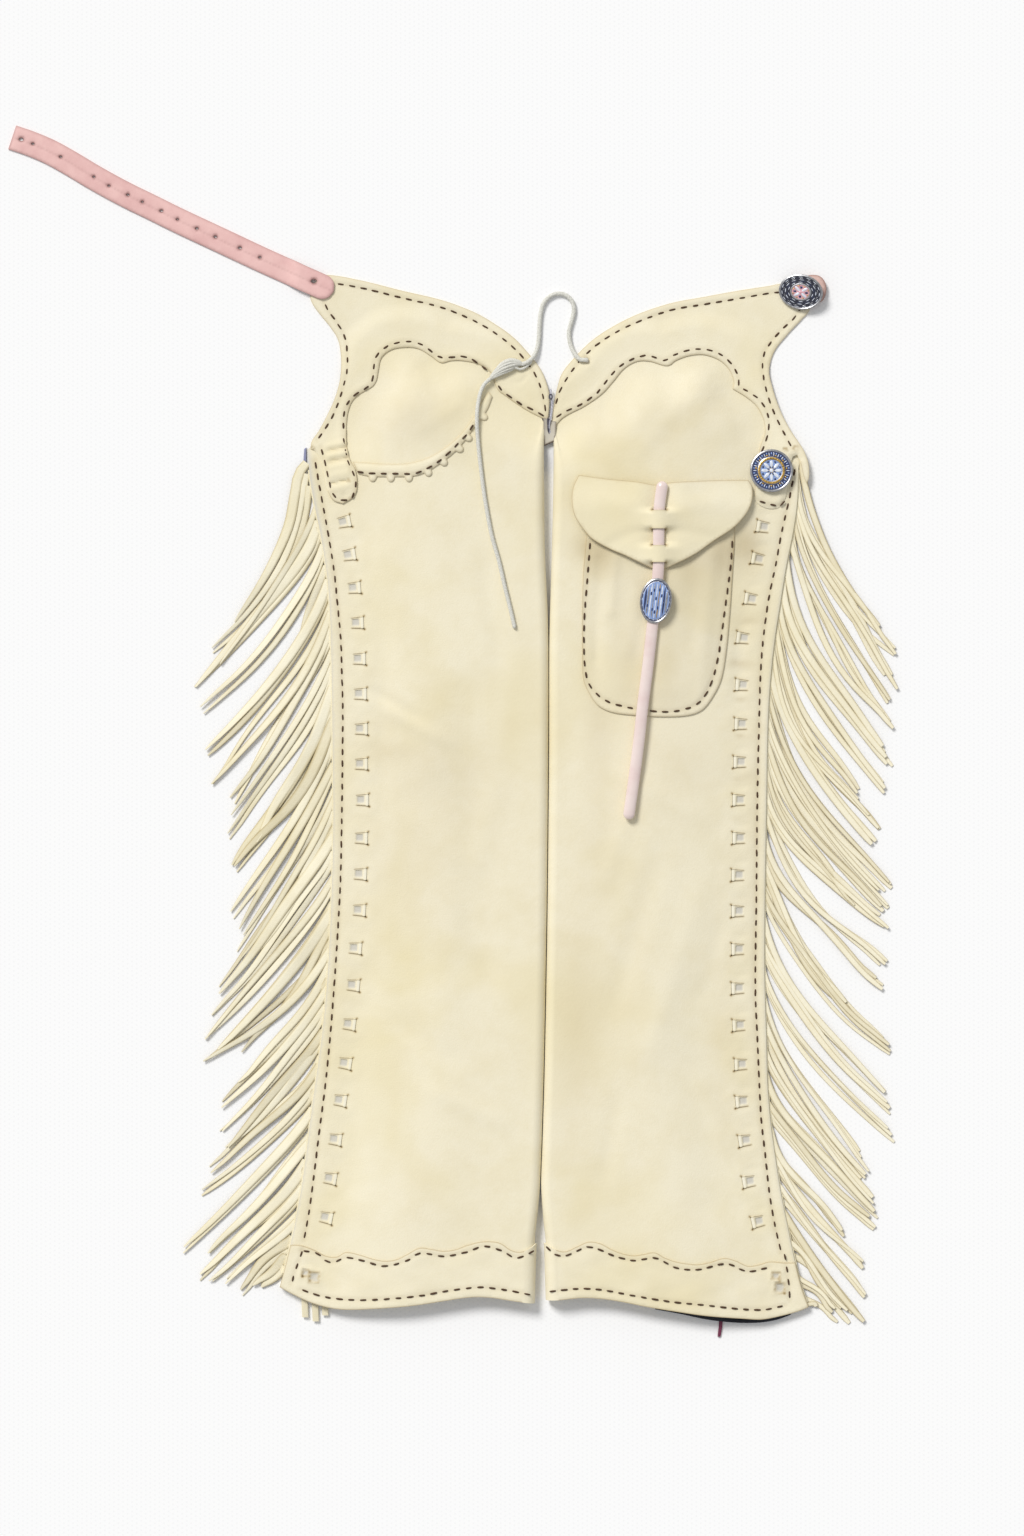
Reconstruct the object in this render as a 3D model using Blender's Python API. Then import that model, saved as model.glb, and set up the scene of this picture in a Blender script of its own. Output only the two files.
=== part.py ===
"""Fringed leather chaps, laid flat on their back.

Each leg is one leather panel that is wrapped round: a back layer on the floor, a fold at the inner
side, and a front layer over it, with a fringe strip sewn between the two layers at the outer side.
Scalloped yokes lie over the tops of the legs and end in tips that carry the belt.

The layout below is drawn as the garment is seen from above, in steps of LAYOUT_STEP, with x to the
right and y down the legs. Heights are in millimetres above the floor. The model is in metres, Z up.
"""

import math

import bmesh
import bpy
import numpy as np
from mathutils import Vector
from mathutils.bvhtree import BVHTree

MM = 0.001

# Driving sizes
LAYOUT_STEP = 0.9 * MM          # one layout step on the garment; the round concho is 42.8 steps
LAYOUT_CENTRE = (452.9, 731.26)  # layout point that stands at the model's origin
LEATHER = 2.0                   # wall of legs and yokes, mm
BAND_LEATHER = 1.5              # wall of hem bands, pocket and flap, mm
WELT_LEATHER = 1.2
GAP = 0.3                       # clearance between pieces that lie on each other, mm
STRIP_BOTTOM = LEATHER + GAP    # the fringe strip lies on the back layer
STRIP_THICKNESS = 1.5
SEAM_TOP = STRIP_BOTTOM + STRIP_THICKNESS + GAP + LEATHER  # front layer's top at the outer seam, mm
CROWN = 16.0                    # front layer's top along the inner third of a leg, mm
SCALLOP_RISE = 45.0             # layout steps from the scallop line to the full height
YOKE_FALL = (26.0, 46.0)        # layout steps outside the scallop where the yoke comes down
CROWN_RISE = 125.0              # layout steps from the outer seam to the crown
BACK_TOP = 470.0                # layout y where the back layer and the fringe strip start
HEM_ZONE = (1225.0, 1300.0)     # nominal rows that bend to the hem's own curve
STRAP_WIDTH = 22.4
STRAP_THICKNESS = 2.4
THONG_WIDTH = 10.5
THONG_HEIGHT = 6.0
LACE_DIAMETER = 4.2
ROUND_CONCHO = 38.5
CONCHO_THICKNESS = 3.2
FRINGE_WIDTH = 6.4
FRINGE_THICKNESS = 1.2
FRINGE_LAYERS = (0.4, 2.0, 3.6)  # undersides of the three layers that the strands lie in, mm

COLOURS = {
    "suede": (0.86, 0.78, 0.56),
    "fringe": (0.84, 0.74, 0.50),
    "belt": (0.76, 0.46, 0.45),
    "thong": (0.78, 0.64, 0.64),
    "lace": (0.52, 0.50, 0.44),
    "facing": (0.02, 0.022, 0.035),
    "burgundy": (0.16, 0.02, 0.06),
    "binding": (0.32, 0.34, 0.52),
    "silver": (0.55, 0.58, 0.66),
}

# Outer and inner edge of each leg, seen from above: (y, x)
LEFT_OUTER = [(262, 298), (430, 303), (448, 307), (484, 311), (516, 317), (541, 322), (586, 328.5),
              (650, 331.5), (753, 333), (830, 333.6), (940, 330), (1020, 324), (1110, 312),
              (1180, 303), (1240, 292), (1270, 286), (1300, 280)]
LEFT_INNER = [(431, 544.8), (446, 544), (500, 544.2), (555, 545), (612, 547.6), (650, 548.4),
              (750, 548.2), (900, 546.8), (1000, 545.2), (1080, 543.5), (1140, 541.7),
              (1180, 540.2), (1200, 538.8), (1220, 536.8), (1240, 534.8), (1260, 534),
              (1280, 533.4), (1302, 532.8)]
RIGHT_OUTER = [(262, 812), (430, 806), (448, 802), (470, 798), (500, 797), (530, 793), (560, 787),
               (590, 782), (650, 773), (710, 768), (800, 766), (960, 764), (1040, 766),
               (1080, 767), (1120, 770), (1150, 774), (1190, 780), (1220, 786), (1250, 793),
               (1280, 801), (1300, 808)]
RIGHT_INNER = [(431, 552.7), (446, 553.5), (500, 553), (555, 551.6), (612, 549.9), (650, 549.1),
               (750, 548.9), (900, 547.5), (1000, 545.9), (1080, 544.2), (1140, 542.4),
               (1180, 541), (1200, 541.8), (1220, 543.4), (1240, 545.5), (1260, 546.4),
               (1280, 547), (1302, 547.7)]

# Hem edge: (x, y)
LEFT_HEM = [(274, 1283), (280, 1286), (294, 1293.6), (309, 1300.5), (323.6, 1305), (337, 1307.4),
            (351, 1308), (372, 1307), (395, 1305.4), (418, 1303), (441, 1299.4), (470, 1295.3),
            (490, 1295.5), (510, 1298.5), (534, 1302)]
RIGHT_HEM = [(545, 1298.5), (560, 1298), (580, 1296), (600, 1296.6), (623, 1300), (645, 1304.5),
             (679, 1310), (707, 1314), (743, 1317), (761, 1318), (779, 1315), (798, 1310),
             (810, 1305)]

# Scallop line where each yoke ends on the leg: (x, y), from the centre outward
LEFT_SCALLOP = [(548, 419.4), (545, 419.4), (524.5, 409), (504, 395), (497, 389), (491.8, 374.5),
                (479.6, 365), (463, 361), (451, 361), (441, 363), (430.6, 356), (418.4, 349),
                (406, 347.6), (391.8, 350), (381.6, 358), (378.6, 370), (376.5, 380.6),
                (372.4, 386.7), (359, 395), (352, 402), (348, 413), (346.5, 427.6)]
RIGHT_SCALLOP = [(552.5, 430), (563, 418), (585, 406), (602, 394), (613, 382), (624, 369),
                 (637, 361.7), (650, 361.7), (667.4, 366), (676, 360.6), (689, 356), (704, 355),
                 (719.5, 360.6), (729, 370), (733.6, 382), (732.5, 389), (745.5, 397), (756, 406),
                 (763, 419), (764.5, 426)]

# The rest of each yoke's outline, from the scallop's outer end round the hip tab and the tip
LEFT_YOKE_EDGE = [(347, 446), (351, 462), (355.5, 470), (357.5, 486), (354, 497), (343, 504),
                  (333, 500), (327, 488), (322, 462), (316, 452), (310.5, 449), (312, 441.5),
                  (319, 431), (326.5, 417), (334, 401), (339, 385), (341, 372), (341, 356),
                  (338, 340), (330.6, 327.6), (320.4, 315), (312.5, 304), (310.5, 296),
                  (318, 279), (326.5, 275), (361, 280.6), (402, 290.8), (443, 300.6),
                  (473.5, 312), (494, 323.5), (514, 338), (530.6, 356), (541, 370), (547, 385),
                  (549.4, 397)]
RIGHT_YOKE_EDGE = [(764.5, 434), (760, 447), (756, 470), (755, 500), (762, 507), (774, 509),
                   (783, 504), (788, 480), (792, 458), (797, 455), (800, 462), (803, 476),
                   (806, 484), (808.5, 478), (808, 464), (804, 452), (800, 445), (790, 430),
                   (780, 410.5), (772.6, 389), (769, 371), (774, 352), (787, 335), (802, 319),
                   (809.5, 310), (808, 300), (800, 284), (780, 284), (769, 286), (737, 291),
                   (704, 297), (672, 303), (641, 313), (617.6, 324), (594, 339), (576, 356),
                   (562, 373.6), (557, 389), (554.3, 402), (552, 418)]

# Soft folds of the front layers: a ridge, or a trough where the height is below 0, mm
SOFT_FOLDS = [  # side, x0, y0, x1, y1, width, height
    ("left", 400, 400, 455, 440, 16, 1.6),
    ("left", 380, 560, 430, 760, 22, 1.2),
    ("left", 470, 700, 480, 960, 26, -1.2),
    ("left", 360, 980, 345, 1180, 18, -1.1),
    ("left", 440, 1000, 450, 1200, 26, 1.2),
    ("right", 590, 455, 625, 400, 16, -1.8),
    ("right", 700, 400, 745, 440, 18, 1.4),
    ("right", 745, 560, 738, 780, 16, -1.0),
    ("right", 640, 800, 650, 1040, 26, 1.3),
    ("right", 700, 1000, 712, 1200, 22, -1.2),
]

# Rows of the panels' lattice, and where its front columns lie between the two edges
YOKE_ROWS = [262, 280, 298, 316, 326]
LEG_ROWS = [337, 350, 363, 376, 389, 403, 417, 431, 445, 457, 470, 484, 500, 516, 534, 556, 585,
            620, 660, 710, 765, 825, 885, 945, 1005, 1065, 1120, 1170, 1207, 1225, 1250, 1275, 1300]
FRONT_COLUMNS = [0, 0.07, 0.15, 0.24, 0.34, 0.45, 0.56, 0.67, 0.78, 0.90, 1.0]
FOLD_STEPS = 6
BACK_COLUMNS = [0.33, 0.67, 1.0]

# Square lace slots beside the outer seams: (x, y) of each one's middle
LEFT_SLOTS = [(345, 522), (350, 555), (355, 588), (358, 623), (360, 659), (361, 694), (362, 729),
              (362, 764), (363, 800), (362, 838), (361, 874), (360, 910), (356, 948), (354, 985),
              (350, 1024), (346, 1063), (341, 1100), (336, 1139), (331, 1178), (327, 1217)]
RIGHT_SLOTS = [(762, 527), (757, 559), (750, 599), (742, 638), (741, 685), (740, 724), (739, 762),
               (738, 800), (738, 838), (737, 875), (737, 911), (737, 949), (737, 988), (738, 1025),
               (740, 1064), (741, 1101), (744, 1140), (748, 1181), (757, 1221)]
SLOT_SIZE = (7.5, 11.0)         # layout steps across and along
SLOT_DEPTH = 0.9

# Wavy top edge of the hem bands: (x, y)
LEFT_WAVE = [(270, 1246), (299, 1244.5), (314, 1249), (326, 1255), (337, 1256), (346, 1251.2),
             (361.5, 1254), (373, 1257.5), (385, 1259.5), (396.5, 1258), (408, 1252.5),
             (419.5, 1246.5), (431.5, 1247.5), (443.6, 1249.5), (455.6, 1248), (468, 1243.5),
             (484, 1240), (500, 1241.5), (511, 1248.5), (520, 1250.5), (529, 1247), (539, 1238)]
RIGHT_WAVE = [(541, 1236), (547, 1243), (555, 1248), (565, 1250), (575, 1246), (588, 1240.5),
              (600, 1242), (611.6, 1248), (622, 1252), (633, 1254), (644, 1252.5),
              (654.5, 1251), (664, 1256), (675, 1260), (686, 1262), (697, 1263), (709, 1261),
              (724, 1257), (736, 1260), (747, 1265), (758, 1264), (769, 1261), (784, 1262),
              (820, 1262)]

POCKET_OUTLINE = [(587, 505), (586, 539.5), (583, 574), (582, 612), (582, 650), (583, 679),
                  (589, 694), (598, 706), (612, 712.6), (635, 715.5), (663.5, 717), (688, 715.5),
                  (702, 710), (713, 696), (721, 679), (726, 650), (729.5, 612), (732, 574),
                  (734, 539.5), (734, 505)]
FLAP_OUTLINE = [(578.5, 476), (607, 480), (636.5, 483), (655, 486), (668, 484), (700, 482),
                (728, 481), (748, 481), (751.5, 488), (751, 502), (745, 515), (732, 529),
                (713, 541.6), (694, 555), (668, 568), (659.5, 570.7), (649, 568), (636.5, 562),
                (624, 556), (611, 550.6), (592, 540), (582, 529), (574, 516), (571.5, 501),
                (573, 488)]
FLAP_ROWS = [468, 484, 497, 511, 520, 530, 538, 546, 555, 563.5, 578]
FLAP_SLITS = (511, 530, 546, 563.5)     # rows; the thong is under the leather between 1-2 and 3-4
FLAP_SIDE_COLUMNS = (564, 581, 598, 615, 632, 645), (673, 690, 707, 724, 741, 758)
FLAP_THONG_COLUMNS = (-8.2, -5.3, 0, 5.3, 8.2)   # layout steps from the thong's middle
FLAP_LIFT = 8.4                 # the thong's middle over the leg's front, mm
THONG_ROUTE = [(661.4, 488), (659.6, 500), (658.5, 511), (658, 538), (658, 563), (657.4, 573),
               (655.4, 595), (652, 625), (647.5, 665), (642, 708), (638.5, 740), (634, 775), (628.5, 814)]

WELT_TOP = [(360, 462.5), (381.6, 464.5), (406, 464.5), (426.5, 459.5), (443, 450.5), (459, 437.5),
            (473.5, 418.5), (481, 404), (489, 392)]
WELT_BOTTOM = [(492.5, 397), (487.5, 410), (476, 426.5), (458, 450), (441, 464), (426.5, 473),
               (414, 477), (392, 477.5), (371, 477), (360, 475)]
WELT_TABS = [(486, 419), (470, 440), (459, 449), (444, 463), (428, 472.5), (409, 477), (391, 478),
             (373, 477)]
WELT_TAB_RADIUS = 4.0

# Strap's middle line (x, y), its punched holes (x, y, radius in mm) and its last slot
STRAP_MIDDLE = [(12.4, 137.5), (30, 143.5), (50, 152), (70, 163), (90, 175), (110, 186.3),
                (130, 196.8), (150, 206.5), (180, 221.3), (220, 240), (260, 258.8), (290, 272.4),
                (302, 278), (314, 283.3), (323, 287.3), (330, 290.3), (333.6, 291.8)]
STRAP_HOLES = [(21.4, 139.6, 1.7), (33, 144, 1.1), (60.8, 157, 1.1), (94, 177, 1.0),
               (109, 186, 1.0), (128, 195, 1.2), (142.5, 202, 1.0), (161.5, 211, 1.3),
               (177.6, 219.5, 1.0), (197, 228.6, 1.2), (215.6, 237, 1.3), (240, 248, 1.3),
               (260, 257.5, 1.1), (314, 281.6, 2.2)]

LACE_ROUTE = [(586.4, 360.4), (579.5, 359.6), (573.7, 352.5), (570, 343), (569, 332), (572, 320),
              (574, 310), (572, 301.5), (566, 295.6), (558.5, 293.8), (550, 296.6), (544, 303),
              (541, 312), (539.6, 325), (539, 337), (537.4, 348), (533.5, 357), (527.5, 362.5),
              (523, 364.5)]
LACE_TAIL = [(489.5, 380), (484, 385.5), (480, 395), (477.6, 409), (477, 423.5), (478, 441),
             (479.3, 455), (481, 470), (485, 500), (491.5, 535), (499, 562), (505, 588),
             (510, 608), (514.4, 627)]
KNOT_SECTIONS = [  # x, y, width, height in mm
    (521.4, 365.0, 4.6, 4.2),
    (517, 364.6, 8.5, 5.6),
    (510.5, 365.2, 11.5, 6.2),
    (504, 368.5, 10.5, 6.0),
    (498.5, 373.0, 7.6, 5.4),
    (494, 376.4, 5.6, 4.8),
    (491.2, 378.6, 4.4, 4.2),
]
LINK_SECTIONS = [  # x, y, width, height, and the middle's height over the floor, mm
    (550.6, 390.5, 2.2, 2.0, 3.0),
    (550.9, 396, 4.0, 3.4, 6.6),
    (551.0, 402, 2.8, 2.6, 6.6),
    (550.6, 418, 2.6, 2.4, 6.4),
    (549.4, 424, 3.4, 2.4, 5.2),
    (548.6, 436, 3.2, 2.4, 4.6),
    (548.4, 441, 5.2, 2.4, 4.0),
    (548.2, 445, 5.6, 2.2, 3.6),
]

# Fringe strands in the order of their roots: how many, where they end (x, y), and the bow, which
# is how long each keeps to the seam before it turns out, as a part of its length
LEFT_LOCKS = [
    (1, 235, 622, 0.30), (2, 212, 648, 0.28), (1, 222, 664, 0.30), (2, 196, 690, 0.30),
    (2, 203, 710, 0.32), (1, 288, 668, 0.55), (2, 208, 752, 0.32), (2, 214, 787, 0.34),
    (2, 232, 800, 0.36), (1, 233, 815, 0.36), (2, 230, 836, 0.34), (1, 256, 842, 0.45),
    (3, 236, 872, 0.38), (2, 233, 915, 0.34), (2, 241, 932, 0.36), (2, 240, 955, 0.36),
    (1, 238, 975, 0.36), (2, 220, 990, 0.32), (2, 211, 1012, 0.30), (2, 203, 1036, 0.28),
    (2, 218, 1046, 0.30), (1, 240, 1052, 0.38), (2, 206, 1064, 0.28), (1, 238, 1082, 0.38),
    (2, 222, 1104, 0.32), (2, 222, 1134, 0.32), (2, 228, 1150, 0.32), (2, 211, 1169, 0.28),
    (2, 201, 1192, 0.28), (2, 184, 1250, 0.25), (2, 208, 1250, 0.28), (2, 201, 1277, 0.22),
    (2, 212, 1284, 0.20), (2, 226, 1281, 0.06), (2, 243, 1293, 0.04), (1, 252, 1285, 0.02),
    (1, 260, 1287, 0.02),
]
RIGHT_LOCKS = [
    (1, 879, 626, 0.26), (2, 895, 649, 0.26), (2, 894, 683, 0.28), (2, 892, 706, 0.30),
    (1, 886, 716, 0.31), (2, 891, 728, 0.32), (2, 882, 746, 0.33), (2, 889, 760, 0.32),
    (2, 883, 788, 0.34), (2, 860, 796, 0.42), (2, 877, 823, 0.36), (2, 876, 847, 0.36),
    (2, 890, 882, 0.34), (2, 885, 898, 0.34), (2, 888, 914, 0.34), (2, 855, 905, 0.46),
    (2, 888, 928, 0.34), (2, 887, 967, 0.34), (2, 884, 992, 0.34), (2, 847, 1005, 0.46),
    (3, 888, 1048, 0.34), (2, 882, 1086, 0.34), (2, 888, 1108, 0.32), (2, 891, 1135, 0.32),
    (2, 868, 1165, 0.34), (2, 867, 1181, 0.30), (2, 871, 1197, 0.28), (2, 877, 1216, 0.26),
    (2, 878, 1230, 0.24), (2, 842, 1236, 0.10), (2, 864, 1268, 0.22), (2, 868, 1300, 0.08),
    (2, 860, 1315, 0.10), (2, 848, 1316, 0.01), (2, 835, 1315, 0.02), (1, 825, 1314, 0.02),
]
TUCKED_STRANDS = [  # root y, turn x, tip x, tip y: three ends that hang out under the left hem
    (1236, 323, 325.5, 1315),
    (1248, 313, 316, 1321),
    (1260, 303.5, 305.5, 1317),
]
STRIP_Y = {"left": (470.0, 1282.0), "right": (470.0, 1296.0)}
STRIP_INNER = 9.0               # layout steps that the strip reaches in under the front layer
STRIP_OUTER = 1.4               # and out past the leg's edge
STRIP_BACK_STEPS = 12
ROOT_REACH = 5.0                # first straight length of a strand, mm


def clear_scene():
    for obj in list(bpy.data.objects):
        bpy.data.objects.remove(obj, do_unlink=True)


def material(name, roughness=0.85, metallic=0.0):
    found = bpy.data.materials.get(name)
    if found:
        return found
    made = bpy.data.materials.new(name)
    made.use_nodes = True
    shader = made.node_tree.nodes["Principled BSDF"]
    shader.inputs["Base Color"].default_value = (*COLOURS[name], 1.0)
    shader.inputs["Roughness"].default_value = roughness
    shader.inputs["Metallic"].default_value = metallic
    return made


def place(x, y, z):
    """Model point for a layout point and a height in millimetres."""
    return Vector(((x - LAYOUT_CENTRE[0]) * LAYOUT_STEP, (LAYOUT_CENTRE[1] - y) * LAYOUT_STEP, z * MM))


def steps(millimetres):
    return millimetres * MM / LAYOUT_STEP


def graph(table, t):
    """Value at t on a smooth curve through rows of (t, value)."""
    last = len(table) - 1
    t = min(max(t, table[0][0]), table[last][0])
    i = 0
    while i < last - 1 and t > table[i + 1][0]:
        i += 1

    def slope(k):
        low = max(k - 1, 0)
        high = min(k + 1, last)
        return (table[high][1] - table[low][1]) / (table[high][0] - table[low][0])

    span = table[i + 1][0] - table[i][0]
    u = (t - table[i][0]) / span
    rise = u * u * (3 - 2 * u)
    start = slope(i) * span * u * (1 - u) ** 2
    end = slope(i + 1) * span * u * u * (u - 1)
    return table[i][1] + (table[i + 1][1] - table[i][1]) * rise + start + end


def ease(u):
    u = min(max(u, 0.0), 1.0)
    return u * u * (3 - 2 * u)


def distance_to_segment(x, y, x0, y0, x1, y1):
    """Distance, and how far along the segment its nearest point lies."""
    dx = x1 - x0
    dy = y1 - y0
    along = ((x - x0) * dx + (y - y0) * dy) / (dx * dx + dy * dy)
    along = min(max(along, 0.0), 1.0)
    return math.hypot(x - x0 - along * dx, y - y0 - along * dy), along


def inside(outline, x, y):
    odd = False
    for k, (x0, y0) in enumerate(outline):
        x1, y1 = outline[k - 1]
        if (y0 > y) != (y1 > y) and x < (x1 - x0) * (y - y0) / (y1 - y0) + x0:
            odd = not odd
    return odd


class Side:
    """The lattice of one leg and its yoke: layout places and heights of the front's top face."""

    def __init__(self, name):
        self.name = name
        left = name == "left"
        self.outer_table = LEFT_OUTER if left else RIGHT_OUTER
        self.inner_table = LEFT_INNER if left else RIGHT_INNER
        self.hem_table = LEFT_HEM if left else RIGHT_HEM
        self.scallop = LEFT_SCALLOP if left else RIGHT_SCALLOP
        self.toward_inner = 1.0 if left else -1.0
        self.lap_inner = 552.0 if left else 549.0
        far_out = 200.0 if left else 900.0
        far_in = 640.0 if left else 460.0
        start_y = self.scallop[0][1]
        end_x, end_y = self.scallop[-1]
        self.rise_line = self.scallop + [(far_out, end_y)]
        self.rise_area = [(far_in, start_y)] + self.rise_line + [(far_out, 1500), (far_in, 1500)]
        self.folds = [fold[1:] for fold in SOFT_FOLDS if fold[0] == name]

    def outer(self, y):
        return graph(self.outer_table, y)

    def inner(self, y):
        return graph(self.inner_table, y)

    def hem(self, x):
        return graph(self.hem_table, x)

    def depth_in(self, x, y):
        """How far a point lies inside the scallop line; below 0 under the yoke."""
        line = self.rise_line
        near = min(distance_to_segment(x, y, *line[k], *line[k + 1])[0] for k in range(len(line) - 1))
        return near if inside(self.rise_area, x, y) else -near

    def over_leg(self, x, y):
        """1 where the yoke lies over the leg's top edge, falling to 0 where it is on the floor."""
        return ease((self.depth_in(x, y) + YOKE_FALL[1]) / (YOKE_FALL[1] - YOKE_FALL[0]))

    def front(self, x, y):
        """Height of the front layer's top face."""
        rise = ease(self.depth_in(x, y) / SCALLOP_RISE)
        from_seam = (x - self.outer(y)) * self.toward_inner
        seam_share = (SEAM_TOP - LEATHER) / (CROWN - LEATHER)
        across = seam_share + (1 - seam_share) * ease(from_seam / CROWN_RISE)
        height = LEATHER + (CROWN - LEATHER) * rise * across
        for x0, y0, x1, y1, width, size in self.folds:
            away, along = distance_to_segment(x, y, x0, y0, x1, y1)
            height += size * rise * math.exp(-(away / width) ** 2) * ease(from_seam / 40)
        return height

    def bend_row(self, x, y):
        """Layout y of a nominal row at x: the last rows follow the hem."""
        start, end = HEM_ZONE
        if y <= start:
            return y
        return start + (y - start) / (end - start) * (self.hem(x) - start)

    def fold_start(self, y):
        """Layout x where the front turns into the fold, and the fold's radius in mm."""
        if y < LEFT_INNER[0][0]:
            return self.lap_inner, 0.0
        edge = self.inner(y)
        radius = self.front(edge - self.toward_inner * steps(CROWN / 2), y) / 2
        return edge - self.toward_inner * steps(radius), radius

    def front_row(self, y):
        """Points (x, y, z, normal) over the front from the outer seam to the fold."""
        start, radius = self.fold_start(y)
        outer = self.outer(y)
        xs = [outer + (start - outer) * u for u in FRONT_COLUMNS]
        zs = [self.front(x, y) for x in xs]
        if radius:
            zs[-1] = 2 * radius
        row = []
        for k, (x, z) in enumerate(zip(xs, zs)):
            normal = (0.0, 1.0)
            if 0 < k < len(xs) - 1:
                run = (xs[k + 1] - xs[k - 1]) * LAYOUT_STEP / MM
                rise = zs[k + 1] - zs[k - 1]
                length = math.hypot(run, rise)
                normal = (-rise / length * math.copysign(1, run), abs(run) / length)
            row.append((x, self.bend_row(x, y), z, normal))
        return row

    def fold_row(self, y):
        """Points round the fold, after the front's last one, to the back's first."""
        start, radius = self.fold_start(y)
        row = []
        for k in range(1, FOLD_STEPS + 1):
            turn = math.pi * k / FOLD_STEPS
            x = start + self.toward_inner * steps(radius) * math.sin(turn)
            normal = (self.toward_inner * math.sin(turn), math.cos(turn))
            row.append((x, self.bend_row(x, y), radius + radius * math.cos(turn), normal))
        return row

    def back_row(self, y):
        start, _ = self.fold_start(y)
        outer = self.outer(y)
        row = []
        for u in BACK_COLUMNS:
            x = start + (outer - start) * u
            row.append((x, self.bend_row(x, y), 0.0, (0.0, -1.0)))
        return row

    def row(self, y):
        return self.front_row(y) + self.fold_row(y) + self.back_row(y)


def add_object(name, bm, colour, smooth=False, roughness=0.85, metallic=0.0):
    """An object from a bmesh, which is freed, with its faces pointing out."""
    bmesh.ops.recalc_face_normals(bm, faces=bm.faces)
    mesh = bpy.data.meshes.new(name)
    bm.to_mesh(mesh)
    bm.free()
    obj = bpy.data.objects.new(name, mesh)
    bpy.context.scene.collection.objects.link(obj)
    mesh.materials.append(material(colour, roughness, metallic))
    if smooth:
        mesh.shade_smooth()
        mesh.set_sharp_from_angle(angle=math.radians(40))
    return obj


def close_sheet(name, points, cells, colour, roughness=0.85):
    """A wall from cells of four keys; points gives each key's outer and inner model point."""
    bm = bmesh.new()
    outer = {}
    inner = {}
    for key in sorted({key for cell in cells for key in cell}):
        outer[key] = bm.verts.new(points[key][0])
        inner[key] = bm.verts.new(points[key][1])
    edges = {(cell[k], cell[(k + 1) % 4]) for cell in cells for k in range(4)}
    for a, b, c, d in cells:
        for tri in ((a, b, c), (a, c, d)):
            bm.faces.new([outer[key] for key in tri])
            bm.faces.new([inner[key] for key in reversed(tri)])
    for a, b in sorted(edges):
        if (b, a) not in edges:
            bm.faces.new((outer[b], outer[a], inner[a]))
            bm.faces.new((outer[b], inner[a], inner[b]))
    return add_object(name, bm, colour, roughness=roughness)


def make_block(name, outline, low, high, colour, roughness=0.7):
    """A flat piece over a layout outline, from one height to another."""
    bm = bmesh.new()
    floor = [bm.verts.new(place(x, y, low)) for x, y in outline]
    roof = [bm.verts.new(place(x, y, high)) for x, y in outline]
    bm.faces.new(floor)
    bm.faces.new(list(reversed(roof)))
    for k in range(len(outline)):
        bm.faces.new((floor[k], floor[k - 1], roof[k - 1], roof[k]))
    return add_object(name, bm, colour, roughness=roughness)


def as_cutter(obj):
    obj.hide_render = True
    obj.display_type = "WIRE"
    return obj


def prism(name, outline):
    """A tall block over a layout outline, which trims the sheets; it isn't a piece."""
    return as_cutter(make_block(name, outline, -8.0, 70.0, "suede"))


def trim(obj, cutter, operation="INTERSECT"):
    modifier = obj.modifiers.new(operation.lower() + "_" + cutter.name, "BOOLEAN")
    modifier.operation = operation
    modifier.solver = "EXACT"
    modifier.object = cutter


def wider(outline, amount):
    """An open line of layout points moved sideways, to the left of its direction."""
    moved = []
    for k, (x, y) in enumerate(outline):
        x0, y0 = outline[max(k - 1, 0)]
        x1, y1 = outline[min(k + 1, len(outline) - 1)]
        length = math.hypot(x1 - x0, y1 - y0)
        moved.append((x + (y1 - y0) / length * amount, y - (x1 - x0) / length * amount))
    return moved


FRONT_COUNT = len(FRONT_COLUMNS) - 1
HALF_FOLD = FRONT_COUNT + FOLD_STEPS // 2
BAND_COLUMNS = FRONT_COUNT + FOLD_STEPS - 2
ALL_COLUMNS = FRONT_COUNT + FOLD_STEPS + len(BACK_COLUMNS)


def cell(r, c):
    return ((r, c), (r, c + 1), (r + 1, c + 1), (r + 1, c))


def make_leg(side):
    """The wrapped leg panel: front, fold and back, trimmed under the yoke, with its lace slots."""
    points = {}
    for r, y in enumerate(LEG_ROWS):
        _, radius = side.fold_start(y)
        for c, (x, at_y, z, (nx, nz)) in enumerate(side.row(y)):
            wall = LEATHER
            if FRONT_COUNT < c < FRONT_COUNT + FOLD_STEPS:
                wall = min(LEATHER, max(radius - 0.3, 0.05))
            inner = place(x - steps(nx * wall), at_y, z - nz * wall)
            points[r, c] = (place(x, at_y, z), inner)
    cells = []
    for r in range(len(LEG_ROWS) - 1):
        whole = LEG_ROWS[r] >= BACK_TOP
        folded = LEG_ROWS[r] >= LEFT_INNER[0][0]
        last = ALL_COLUMNS if whole else HALF_FOLD if folded else FRONT_COUNT
        cells += [cell(r, c) for c in range(last)]
    leg = close_sheet("leg_" + side.name, points, cells, "suede")

    if side.name == "left":
        top = wider(LEFT_SCALLOP[2:], -8.0)
        outline = [(590, 431), (546, 430), (536, 410)] + top[1:]
        outline += [(336, 428), (325, 437), (302, 441), (240, 446), (240, 1400), (590, 1400)]
    else:
        top = wider(RIGHT_SCALLOP[1:], 8.0)
        outline = [(510, 442), (553.5, 441), (557, 428), (563, 413)] + top[2:]
        outline += [(780, 430), (790, 437), (806, 441), (860, 446), (860, 1400), (510, 1400)]
    trim(leg, prism("trim_leg_" + side.name, outline))
    trim(leg, slot_cutter(side), "DIFFERENCE")
    return leg


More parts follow.
